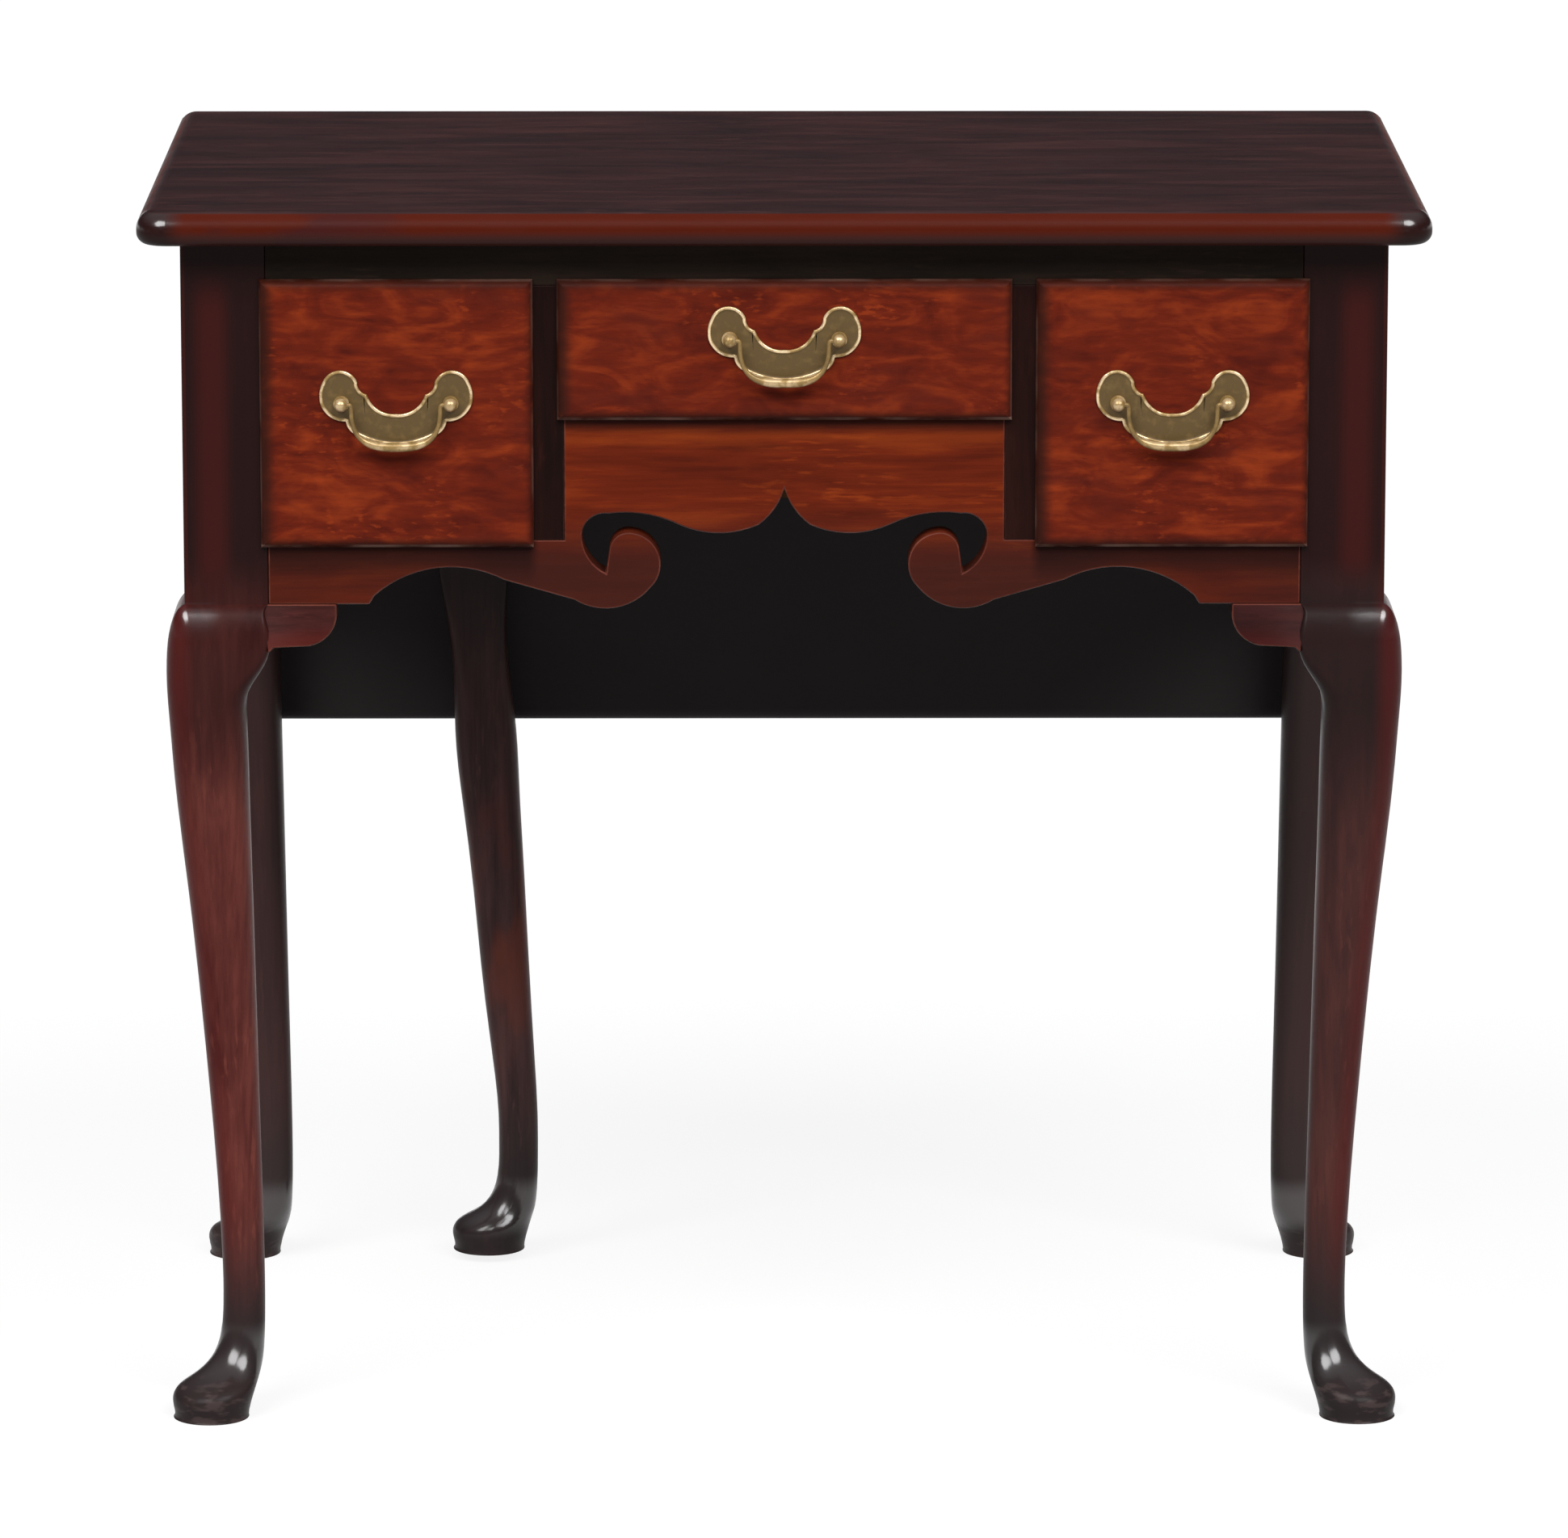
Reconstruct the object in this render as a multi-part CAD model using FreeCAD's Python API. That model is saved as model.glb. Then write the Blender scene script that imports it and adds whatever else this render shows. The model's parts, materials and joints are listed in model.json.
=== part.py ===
import FreeCAD, Part
import math
import os

from FreeCAD import Vector

# A lowboy: three lipped drawers over a scrolled apron on cabriole legs,
# with a leaf that hangs behind the top on a rule joint and a swing leg to hold it up.
# Millimetres. X is to the right, Y to the back, Z up, and the floor is at zero.

# Top and leaf
top_width = 760.0
hinge_setback = 450.0           # front edge of the top to the axis of the leaf hinges
top_thickness = 20.0
overall_height = 736.0
edge_round_upper = 11.0         # moulded edge of the top and the leaf, at the show face
edge_round_lower = 7.0          # the same edge, at the underside
corner_round = 18.0             # corners of the top and the leaf, seen from above
leaf_drop = 373.0               # axis of the hinges to the free edge of the leaf
rule_fillet = 4.0               # square step at the upper end of the rule joint
axis_lift = 1.0                 # axis of the hinges above the underside of the top
rule_gap = 0.4

# Case
front_overhang = 24.0
side_overhang = 25.0
rear_gap = 14.0                 # rear posts to the axis of the leaf hinges
post_size = 50.0
post_edge_round = 1.5
panel_thickness = 16.0
panel_recess = 2.0              # side panels behind the outer face of the posts
back_thickness = 12.0
tongue_length = 10.0
tongue_thickness = 8.0
top_rail_height = 26.0
top_rail_depth = 45.0
divider_thickness = 22.0
side_opening_width = 153.0
side_opening_height = 152.0
center_opening_height = 76.0
tenon_length = 15.0
tenon_shoulder = 4.0
stub_length = 8.0

# Apron, with heights above its lower edge and distances from the middle
apron_thickness = 22.0
apron_depth = 38.5              # lower edge of the side openings to the lower edge of the apron
shoulder_length = 59.5          # straight run of the lower edge beside each post
shoulder_step = 5.0
shoulder_slant = 3.0
crest_height = 22.0
crest_run = 40.0                # from the step to the crest beside it
dome_drop = 7.5                 # crest to the end of the round beside it
dome_tuck = 3.0
bracket_length = 40.0
bracket_height = 24.5
bracket_nose = 4.0
bracket_tail = 16.0             # length of the rounded end
bracket_heel = 3.0              # slant where it meets the knee
bracket_proud = 10.5            # how far the foot of the bracket swells out beside the knee

# Legs: how far the faces stand out from the middle of the post, outwards and inwards
knee_outer = 36.2
knee_inner = 10.4
shank_outer = 32.7
shank_inner = 11.2
ankle_outer = 8.7
ankle_inner = 16.6
ankle_height = 90.0
knee_length = 105.0             # top of the knee to the start of the straight shank
shank_sweep = 1.33              # power of the curve of the shank
shank_roundness = 0.38          # corner radius over width at the top of the shank
pad_radius = 23.6
pad_offset = 15.0
pad_height = 22.0

# Swing leg
gate_left = -216.0              # left face of its post
gate_post_width = 42.0
gate_post_depth = 34.0
gate_knee_drop = 34.0           # lower edge of the apron to the shoulder of its post
gate_waist_drop = 75.0          # shoulder to the waist below it
gate_calf_drop = 120.0          # shoulder to the calf
gate_waist_outer = 13.5
gate_waist_inner = 21.0
gate_calf_outer = 12.5
gate_calf_inner = 26.0
gate_ankle_outer = -13.5
gate_ankle_inner = 38.5
gate_pad_offset = -7.3
gate_foot_lift = 5.5            # foot above the floor while the leg is folded in
gate_pivot_x = 80.0
gate_rail_height = 80.0
gate_rail_thickness = 20.0
gate_rail_drop = 26.0           # underside of the top to the upper edge of the gate rail
gate_clearance = 0.4
gate_top_clearance = 0.5
gate_pin_radius = 3.0
gate_tenon_length = 20.0
knuckle_count = 5
knuckle_clearance = 0.3

# Drawers
lip_overlap = 4.0
lip_thickness = 6.0
lip_round = 5.5
lip_gap = 0.2
front_inset = 14.0              # part of the drawer front that enters the opening
drawer_side_clearance = 0.8
drawer_run_clearance = 0.3
drawer_top_clearance = 1.7
drawer_rear_clearance = 10.0
lining_thickness = 9.0
bottom_thickness = 6.0
bottom_rise = 10.0
bottom_groove = 4.0
tail_length = 11.0
tail_flare = 2.0
side_tail_count = 4
center_tail_count = 2

# Drawer bearers inside the case
bearer_thickness = 12.0
partition_clearance = 1.0
side_bearer_reach = 20.0
center_bearer_reach = 22.0
guide_height = 24.0
guide_clearance = 0.5
kicker_width = 40.0
block_size = 18.0
block_length = 60.0

# Handles, measured from the middle of the two posts
post_spacing = 64.4
handle_rise = 7.0               # posts above the middle of the drawer front
plate_thickness = 1.6
plate_sink = 0.6
plate_rim = 1.7
shank_radius = 2.5
shank_clearance = 0.05
flange_radius = 4.6
flange_thickness = 1.2
head_radius = 4.0
head_standoff = 6.5
nut_size = 9.0
nut_thickness = 3.0
shank_end = 1.5
bail_reach = 26.2
bail_drop = 25.0
bail_arm_radius = 1.3
bail_grip_radius = 2.8
bail_pin_radius = 1.45
bail_pin_clearance = 0.05
bail_pin_inset = 1.5            # end of the pin short of the outer side of the head

# Leaf hinges
hinge_spread = 270.0
hinge_width = 36.0
hinge_plate_thickness = 2.2
hinge_plate_fixed = 42.0
hinge_plate_leaf = 62.0
hinge_knuckle_radius = 4.0
hinge_pin_radius = 2.0
hinge_pin_clearance = 0.05
hinge_clearance = 0.4
screw_radius = 1.8
screw_head_radius = 3.6
screw_head_depth = 1.8
screw_length = 12.0
screw_clearance = 0.05
screw_edge = 9.0

# Places that follow from the sizes
underside = overall_height - top_thickness
overall_depth = hinge_setback + top_thickness - axis_lift
front_edge = -overall_depth / 2
axis_y = front_edge + hinge_setback
axis_z = underside + axis_lift
rule_radius = top_thickness - rule_fillet - axis_lift
case_half = top_width / 2 - side_overhang
case_front = front_edge + front_overhang
case_rear = axis_y - rear_gap
inner_half = case_half - post_size
post_x = case_half - post_size / 2
front_post_y = case_front + post_size / 2
rear_post_y = case_rear - post_size / 2
panel_outer = case_half - panel_recess
panel_inner = panel_outer - panel_thickness
back_face = case_rear - post_size
back_rear = back_face + back_thickness
opening_top = underside - top_rail_height
side_opening_bottom = opening_top - side_opening_height
center_opening_bottom = opening_top - center_opening_height
apron_bottom = side_opening_bottom - apron_depth
apron_rear = case_front + apron_thickness
divider_outer = inner_half - side_opening_width
center_half = divider_outer - divider_thickness
drawer_face = case_front - lip_gap - lip_thickness
front_back_face = case_front + front_inset
handle_half = post_spacing / 2
half_turn = math.sqrt(0.5)      # sine and cosine of the middle of a quarter turn
tiny = 1e-6
cut_margin = 1.0


os.makedirs("parts", exist_ok=True)


def box(x0, x1, y0, y1, z0, z1):
    """A square block between two corners."""
    return Part.makeBox(x1 - x0, y1 - y0, z1 - z0, Vector(x0, y0, z0))


def rod(radius, start, direction, length):
    """A round rod from its start along a direction."""
    return Part.makeCylinder(radius, length, start, direction)


def mirrored(shape):
    """The same shape on the other side of the middle plane."""
    return shape.mirror(Vector(0, 0, 0), Vector(1, 0, 0))


def on_front(u, v):
    """A place on the front plane of the case."""
    return Vector(u, case_front, v)


def outline(points, place):
    """A closed wire: a plain point is reached by a line, a pair by an arc through its first point."""
    edges = []
    here = points[0]
    for step in points[1:] + [points[0]]:
        if step == here:
            continue
        curved = isinstance(step[0], tuple)
        there = step[1] if curved else step
        if curved:
            edges.append(Part.Arc(place(*here), place(*step[0]), place(*there)).toShape())
        else:
            edges.append(Part.LineSegment(place(*here), place(*there)).toShape())
        here = there
    return Part.Wire(edges)


def whole(half):
    """An outline on both sides of the middle, from its right half that starts and ends there."""
    steps = list(half)
    for step, before in zip(half[:0:-1], half[-2::-1]):
        end = before[1] if isinstance(before[0], tuple) else before
        if isinstance(step[0], tuple):
            steps.append(((-step[0][0], step[0][1]), (-end[0], end[1])))
        else:
            steps.append((-end[0], end[1]))
    return steps


def board(points, place, thickness):
    """A flat outline carried along a thickness vector."""
    return Part.Face(outline(points, place)).extrude(thickness)


def save(node, *solids):
    """Writes one node, as one solid or as a group of separate solids."""
    shape = solids[0] if len(solids) == 1 else Part.makeCompound(list(solids))
    shape.exportStep("parts/" + node + ".step")
    volume = sum(solid.Volume for solid in solids)
    print(f"{node}: {len(shape.Solids)} solid(s), {volume / 1000:.2f} cm3, valid {shape.isValid()}")


def rounded_section(x0, x1, y0, y1, z, radii):
    """A level rectangle whose corners are round, with radii in turn from the right front corner."""
    right_front, right_rear, left_rear, left_front = radii
    inset = 1 - half_turn
    points = [
        (x0 + left_front, y0), (x1 - right_front, y0),
        ((x1 - inset * right_front, y0 + inset * right_front), (x1, y0 + right_front)),
        (x1, y1 - right_rear),
        ((x1 - inset * right_rear, y1 - inset * right_rear), (x1 - right_rear, y1)),
        (x0 + left_rear, y1),
        ((x0 + inset * left_rear, y1 - inset * left_rear), (x0, y1 - left_rear)),
        (x0, y0 + left_front),
        ((x0 + inset * left_front, y0 + inset * left_front), (x0 + left_front, y0)),
    ]
    return outline(points, lambda u, v: Vector(u, v, z))


def moulded_board(x_half, y0, y1, free_edge_y):
    """A board at the height of the top with round edges at its sides and at one free edge."""
    slab = box(-x_half, x_half, y0, y1, underside, overall_height)
    corners = [
        edge for edge in slab.Edges
        if abs(edge.BoundBox.ZLength - top_thickness) < tiny and abs(edge.CenterOfMass.y - free_edge_y) < tiny
    ]
    slab = slab.makeFillet(corner_round, corners)
    far_y = y1 if free_edge_y == y0 else y0
    for level, radius in ((overall_height, edge_round_upper), (underside, edge_round_lower)):
        rims = [
            edge for edge in slab.Edges
            if edge.BoundBox.ZLength < tiny and abs(edge.CenterOfMass.z - level) < tiny
            and abs(edge.CenterOfMass.y - far_y) > tiny
        ]
        slab = slab.makeFillet(radius, rims)
    return slab


def hung(shape):
    """A piece of the leaf, made level, turned down to where it hangs."""
    turned = shape.copy()
    turned.rotate(Vector(0, axis_y, axis_z), Vector(1, 0, 0), -90)
    return turned


# Leaf hinges
hinge_half = hinge_width / 2
knuckle_half = hinge_width / 6
x_axis = Vector(1, 0, 0)
y_axis = Vector(0, 1, 0)
z_axis = Vector(0, 0, 1)


def along_axis(radius, x0, x1):
    """A rod on the axis of the leaf hinges."""
    return rod(radius, Vector(x0, axis_y, axis_z), x_axis, x1 - x0)


def hinge_plate(x, y0, y1):
    """One plate of a leaf hinge, let in flush with the underside."""
    return box(x - hinge_half, x + hinge_half, y0, y1, underside, underside + hinge_plate_thickness)


def hinge_screw(x, y, grow):
    """A countersunk screw from the underside upwards, or its hole with a larger grow."""
    base = Vector(x, y, underside)
    head = Part.makeCone(screw_head_radius + grow, screw_radius + grow, screw_head_depth, base, z_axis)
    return head.fuse(rod(screw_radius + grow, base, z_axis, screw_length + grow)).removeSplitter()


def screw_places(x, y0, y1):
    """Two screws at the far end of a plate and one nearer to the knuckle."""
    spread = hinge_half - screw_edge
    far = y0 + screw_edge if y0 < axis_y else y1 - screw_edge
    near = far + (axis_y - far) / 2
    return [(x - spread, far), (x + spread, far), (x, near)]


hinge_places = (-hinge_spread, hinge_spread)
rule_cove = rule_radius + rule_gap
leaf_plate_start = axis_y
leaf_plate_end = axis_y + hinge_plate_leaf
fixed_plate_start = axis_y - hinge_plate_fixed
fixed_plates = []
leaf_plates = []
hinge_pins = []
fixed_screws = []
leaf_screws = []
top_cuts = []
leaf_cuts = []
for hinge_x in hinge_places:
    left = hinge_x - hinge_half
    right = hinge_x + hinge_half
    middle = (hinge_x - knuckle_half, hinge_x + knuckle_half)
    play = knuckle_clearance / 2
    whole_clear = along_axis(hinge_knuckle_radius + hinge_clearance, left - play, right + play)
    middle_clear = along_axis(hinge_knuckle_radius + hinge_clearance, middle[0] - play, middle[1] + play)
    bore = along_axis(hinge_pin_radius + hinge_pin_clearance, left, right)
    fixed = hinge_plate(hinge_x, fixed_plate_start, axis_y).cut(middle_clear)
    for outer in ((left, middle[0] - play), (middle[1] + play, right)):
        fixed = fixed.fuse(along_axis(hinge_knuckle_radius, *outer))
    turning = hinge_plate(hinge_x, leaf_plate_start, leaf_plate_end).cut(whole_clear)
    neck = box(*middle, axis_y, leaf_plate_end, underside, underside + hinge_plate_thickness)
    turning = turning.fuse(neck).fuse(along_axis(hinge_knuckle_radius, *middle))
    for screw_x, screw_y in screw_places(hinge_x, fixed_plate_start, axis_y):
        fixed = fixed.cut(hinge_screw(screw_x, screw_y, screw_clearance))
        fixed_screws.append(hinge_screw(screw_x, screw_y, 0))
        top_cuts.append(hinge_screw(screw_x, screw_y, screw_clearance))
    for screw_x, screw_y in screw_places(hinge_x, leaf_plate_start, leaf_plate_end):
        turning = turning.cut(hinge_screw(screw_x, screw_y, screw_clearance))
        leaf_screws.append(hung(hinge_screw(screw_x, screw_y, 0)))
        leaf_cuts.append(hinge_screw(screw_x, screw_y, screw_clearance))
    fixed_plates.append(fixed.cut(bore).removeSplitter())
    leaf_plates.append(hung(turning.cut(bore).removeSplitter()))
    hinge_pins.append(along_axis(hinge_pin_radius, left, right))
    top_cuts.append(hinge_plate(hinge_x, fixed_plate_start, axis_y))
    top_cuts.append(whole_clear)
    top_cuts.append(box(left - hinge_clearance, right + hinge_clearance, axis_y, axis_y + rule_cove,
                        underside, underside + hinge_plate_thickness + hinge_clearance))
    leaf_cuts.append(hinge_plate(hinge_x, leaf_plate_start, leaf_plate_end))
save("hinge_plates_fixed", *fixed_plates)
save("hinge_plates_leaf", *leaf_plates)
save("hinge_pins", *hinge_pins)
save("hinge_screws_fixed", *fixed_screws)
save("hinge_screws_leaf", *leaf_screws)

# Top board, with the round nose of the rule joint along its rear edge
spare = 2 * top_thickness
top = moulded_board(top_width / 2, front_edge, axis_y + spare, front_edge)
nose_middle = rule_radius * half_turn
behind_top = [
    (axis_y, overall_height + spare), (axis_y, axis_z + rule_radius),
    ((axis_y + nose_middle, axis_z + nose_middle), (axis_y + rule_radius, axis_z)),
    (axis_y + rule_radius, underside - spare), (axis_y + 2 * spare, underside - spare),
    (axis_y + 2 * spare, overall_height + spare),
]
top = top.cut(board(behind_top, lambda u, v: Vector(-top_width, u, v), x_axis * (2 * top_width)))
save("top_board", top.cut(top_cuts).removeSplitter())

# Leaf, with the hollow of the rule joint along its hinged edge
leaf = moulded_board(top_width / 2, axis_y + rule_gap, axis_y + leaf_drop, axis_y + leaf_drop)
leaf = leaf.cut(along_axis(rule_cove, -top_width, top_width)).cut(leaf_cuts)
save("leaf_board", hung(leaf.removeSplitter()))

# Tongues and tenons, which are cut out of the posts as well
tongue_half = tongue_thickness / 2
side_middle = panel_inner + panel_thickness / 2
back_middle = back_face + back_thickness / 2
apron_middle = case_front + apron_thickness / 2
rail_tenon = box(inner_half, inner_half + tenon_length, case_front + tenon_shoulder,
                 case_front + top_rail_depth - tenon_shoulder,
                 opening_top + tenon_shoulder, underside - tenon_shoulder)
apron_tenon = box(inner_half, inner_half + tenon_length,
                  apron_middle - tongue_half, apron_middle + tongue_half,
                  apron_bottom + tenon_shoulder, side_opening_bottom - tenon_shoulder)
side_tongue_front = box(side_middle - tongue_half, side_middle + tongue_half,
                        case_front + post_size - tongue_length, case_front + post_size,
                        apron_bottom + tenon_shoulder, underside - tenon_shoulder)
side_tongue_rear = box(side_middle - tongue_half, side_middle + tongue_half,
                       back_face, back_face + tongue_length,
                       apron_bottom + tenon_shoulder, underside - tenon_shoulder)
back_tongue = box(inner_half, inner_half + tongue_length,
                  back_middle - tongue_half, back_middle + tongue_half,
                  apron_bottom + tenon_shoulder, underside - tenon_shoulder)

# Corner legs: the knee, shank and pad foot lean out towards the corner
shank_top = apron_bottom - knee_length
half_post = post_size / 2
square_enough = post_edge_round / post_size
round_enough = 0.49
shank_steps = 4

# Share of the knee's length, of its swell outwards and of its draw inwards,
# then roundness of its corners beside the brackets and of its outward corner
knee_profile = [
    (0.14, 0.79, 0.00, 0.05, 0.22), (0.32, 1.00, 0.12, 0.11, 0.28),
    (0.52, 0.98, 0.92, 0.24, 0.32), (0.71, 0.87, 1.00, 0.32, 0.35),
]
# Share of the instep's height and of the way from the ankle to the pad, outwards and inwards
instep_profile = [(0.59, 0.00, 0.00), (0.35, 0.06, 0.05), (0.15, 0.25, 0.18), (0.00, 0.66, 0.48)]
# The same for the edge of the pad, as a share of its height
pad_profile = [(0.74, 0.94, 0.72), (0.41, 1.00, 1.00), (0.00, 0.99, 1.17)]


def between(start, end, share):
    """The value at a share of the way from start to end."""
    return start + (end - start) * share


def foot_stations(ankle_out, ankle_in, offset, lift):
    """Sections of an instep and its pad, from the ankle down to the sole."""
    stations = []
    pad_top = pad_height + lift
    for profile, high, low in ((instep_profile, ankle_height, pad_top), (pad_profile, pad_top, lift)):
        for level, outwards, inwards in profile:
            outer = between(ankle_out, pad_radius + offset, outwards)
            inner = between(ankle_in, pad_radius - offset, inwards)
            stations.append((between(low, high, level), outer, inner, round_enough))
    return stations


def leg_stations():
    """Height, outward reach, inward reach and roundness, from the knee down to the floor."""
    stations = [(apron_bottom, half_post, half_post, square_enough)]
    for level, outwards, inwards, roundness, nose in knee_profile:
        outer = between(half_post, knee_outer, outwards)
        inner = between(half_post, knee_inner, inwards)
        stations.append((between(apron_bottom, shank_top, level), outer, inner, roundness, nose))
    for step in range(shank_steps + 1):
        share = step / shank_steps
        outer = between(ankle_outer, shank_outer, (1 - share) ** shank_sweep)
        inner = between(shank_inner, ankle_inner, share)
        roundness = between(shank_roundness, round_enough, share)
        stations.append((between(shank_top, ankle_height, share), outer, inner, roundness))
    return stations + foot_stations(ankle_outer, ankle_inner, pad_offset, 0)


def corner_leg(side, rear, mortises):
    """A post and its leg at one corner: side is 1 on the right, rear is 1 at the back."""
    middle_y = rear_post_y if rear > 0 else front_post_y

    def section(height, outer, inner, roundness, nose=0):
        xs = sorted((side * (post_x - inner), side * (post_x + outer)))
        ys = sorted((middle_y - rear * inner, middle_y + rear * outer))
        corners = ((1, -1), (1, 1), (-1, 1), (-1, -1))
        shares = [max(roundness, nose) if corner == (side, rear) else roundness for corner in corners]
        return rounded_section(*xs, *ys, height, [share * (outer + inner) for share in shares])

    sections = [section(*station) for station in leg_stations()]
    leg = Part.makeLoft(sections, True, False)
    reach = 2 * post_size
    xs = sorted((side * inner_half, side * (inner_half + reach)))
    ys = sorted((middle_y - rear * half_post, middle_y - rear * half_post + rear * reach))
    leg = leg.common(box(*xs, *ys, -cut_margin, apron_bottom))
    post = Part.Face(sections[0]).extrude(z_axis * (underside - apron_bottom))
    leg = leg.fuse(post).removeSplitter()
    for mortise in mortises:
        leg = leg.cut(mortise if side > 0 else mirrored(mortise))
    return leg


front_mortises = (rail_tenon, apron_tenon, side_tongue_front)
rear_mortises = (side_tongue_rear, back_tongue)
for side, hand in ((-1, "left"), (1, "right")):
    save("front_leg_" + hand, corner_leg(side, -1, front_mortises))
    save("rear_leg_" + hand, corner_leg(side, 1, rear_mortises))

# Side panels, with a scrolled lower edge
side_start = case_front + post_size
crest_z = apron_bottom + crest_height


def panel_place(u, v):
    """A place on the inner face of the right side panel, u back from the front post."""
    return Vector(panel_inner, side_start + u, v)


side_length = back_face - side_start
step_end = shoulder_length + shoulder_slant
step_top = apron_bottom + shoulder_step
crest_start = step_end + crest_run
rise_middle = (between(step_end, crest_start, 0.4), between(step_top, crest_z, 0.62))
fall_middle = (side_length - rise_middle[0], rise_middle[1])
side_outline = [
    (0, underside), (0, apron_bottom), (shoulder_length, apron_bottom), (step_end, step_top),
    (rise_middle, (crest_start, crest_z)),
    (side_length - crest_start, crest_z),
    (fall_middle, (side_length - step_end, step_top)),
    (side_length - shoulder_length, apron_bottom), (side_length, apron_bottom), (side_length, underside),
]
side_panel = board(side_outline, panel_place, x_axis * panel_thickness)
side_panel = side_panel.fuse([side_tongue_front, side_tongue_rear]).removeSplitter()
save("side_panel_right", side_panel)
save("side_panel_left", mirrored(side_panel))

# Back panel
back = box(-inner_half, inner_half, back_face, back_rear, apron_bottom, underside)
save("back_panel", back.fuse([back_tongue, mirrored(back_tongue)]).removeSplitter())

# Dividers, with stub tenons into the rail above and the apron below
stub_middle = case_front + apron_thickness / 2
upper_stub = box(center_half + tenon_shoulder, divider_outer - tenon_shoulder,
                 stub_middle - tongue_half, stub_middle + tongue_half, opening_top, opening_top + stub_length)
lower_stub = upper_stub.translated(Vector(0, 0, side_opening_bottom - stub_length - opening_top))
divider = box(center_half, divider_outer, case_front, apron_rear, side_opening_bottom, opening_top)
divider = divider.fuse([upper_stub, lower_stub]).removeSplitter()
save("drawer_divider_right", divider)
save("drawer_divider_left", mirrored(divider))

# Rail above the drawers
rail = box(-inner_half, inner_half, case_front, case_front + top_rail_depth, opening_top, underside)
rail = rail.fuse([rail_tenon, mirrored(rail_tenon)]).removeSplitter()
save("front_top_rail", rail.cut([upper_stub, mirrored(upper_stub)]))

# Apron: half of its outline from the post to the peak in the middle.
# Across, the scroll is in shares of half the middle opening; upwards, in millimetres above the lower edge.
scroll = [
    (0.954, 2.5), ((0.778, -2.4), (0.608, 10.0)), ((0.565, 27.2), (0.689, 42.7)),
    ((0.762, 40.6), (0.795, 33.5)), (0.811, 18.5), ((0.891, 28.0), (0.920, 41.7)),
    ((0.889, 50.6), (0.802, 54.3)), ((0.646, 54.2), (0.477, 47.5)),
    ((0.260, 42.7), (0.117, 47.5)), ((0.045, 57.0), (0.0, 68.8)),
]


def scroll_place(share, rise):
    """A point of the scroll on the front plane."""
    return (share * center_half, apron_bottom + rise)


def scroll_step(step):
    """A point or an arc of the scroll."""
    if isinstance(step[0], tuple):
        return tuple(scroll_place(*point) for point in step)
    return scroll_place(*step)


step_x = inner_half - step_end
dome_end = (step_x - 2 * crest_run + dome_tuck, crest_z - dome_drop)
apron_outline = [
    (0.0, center_opening_bottom), (center_half, center_opening_bottom), (center_half, side_opening_bottom),
    (inner_half, side_opening_bottom), (inner_half, apron_bottom),
    (inner_half - shoulder_length, apron_bottom), (step_x, step_top),
    ((step_x - crest_run, crest_z), dome_end),
] + [scroll_step(step) for step in scroll]
apron = board(apron_outline, on_front, y_axis * apron_thickness)
apron = apron.fuse([apron_tenon]).cut(lower_stub)
save("apron", apron.fuse(mirrored(apron)).removeSplitter())

# Knee brackets under the apron and under the side panels
tail_middle = (bracket_length - (1 - half_turn) * bracket_tail,
               between(-bracket_nose, -bracket_height, half_turn))
bracket_outline = [
    (0, 0), (bracket_length, 0), (bracket_length, -bracket_nose),
    (tail_middle, (bracket_length - bracket_tail, -bracket_height)),
    (bracket_heel, -bracket_height), (0, -bracket_height - bracket_heel),
]


def knee_bracket(place, thickness):
    """A bracket whose face swells out towards the knee and its foot: u from the post, w outwards, v up."""
    margin = bracket_proud
    reach = thickness + 2 * bracket_proud

    def outside(v):
        proud = -bracket_proud * v / bracket_height
        spill = proud * margin / bracket_length
        points = [
            (-margin, thickness + proud + spill), (bracket_length + margin, thickness - spill),
            (bracket_length + margin, reach + margin), (-margin, reach + margin),
        ]
        return outline(points, lambda u, w: place(u, w, v))

    blank = board(bracket_outline, lambda u, v: place(u, 0, v), place(0, reach, 0) - place(0, 0, 0))
    foot = -bracket_height - bracket_heel - cut_margin
    return blank.cut(Part.makeLoft([outside(cut_margin), outside(foot)], True, True))


front_bracket = knee_bracket(
    lambda u, w, v: Vector(inner_half - u, apron_rear - w, apron_bottom + v), apron_thickness)
save("knee_brackets_front", front_bracket, mirrored(front_bracket))
side_brackets = []
for start, turn in ((side_start, 1), (back_face, -1)):
    bracket = knee_bracket(
        lambda u, w, v: Vector(panel_inner + w, start + turn * u, apron_bottom + v), panel_thickness)
    side_brackets += [bracket, mirrored(bracket)]
save("knee_brackets_side", *side_brackets)

# Partitions, bearers, guides and kickers that carry the drawers
partition_inner = center_half + partition_clearance
partition = box(partition_inner, divider_outer - partition_clearance,
                apron_rear, back_face, side_opening_bottom, opening_top)
save("drawer_partition_right", partition)
save("drawer_partition_left", mirrored(partition))
bearer_low = side_opening_bottom - bearer_thickness
inner_bearer = box(center_half, divider_outer + side_bearer_reach,
                   apron_rear, back_face, bearer_low, side_opening_bottom)
outer_bearer = box(inner_half - side_bearer_reach, inner_half, apron_rear, back_face,
                   bearer_low, side_opening_bottom)
outer_bearer = outer_bearer.fuse(box(inner_half, panel_inner, side_start, back_face,
                                     bearer_low, side_opening_bottom)).removeSplitter()
save("side_drawer_bearers", inner_bearer, outer_bearer, mirrored(inner_bearer), mirrored(outer_bearer))
center_bearer = box(partition_inner - center_bearer_reach, partition_inner,
                    apron_rear, back_face, center_opening_bottom - bearer_thickness, center_opening_bottom)
save("center_drawer_bearers", center_bearer, mirrored(center_bearer))
guide = box(inner_half + guide_clearance, panel_inner, side_start, back_face,
            side_opening_bottom, side_opening_bottom + guide_height)
save("drawer_guides", guide, mirrored(guide))
side_drawer_middle = (divider_outer + inner_half) / 2
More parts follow.
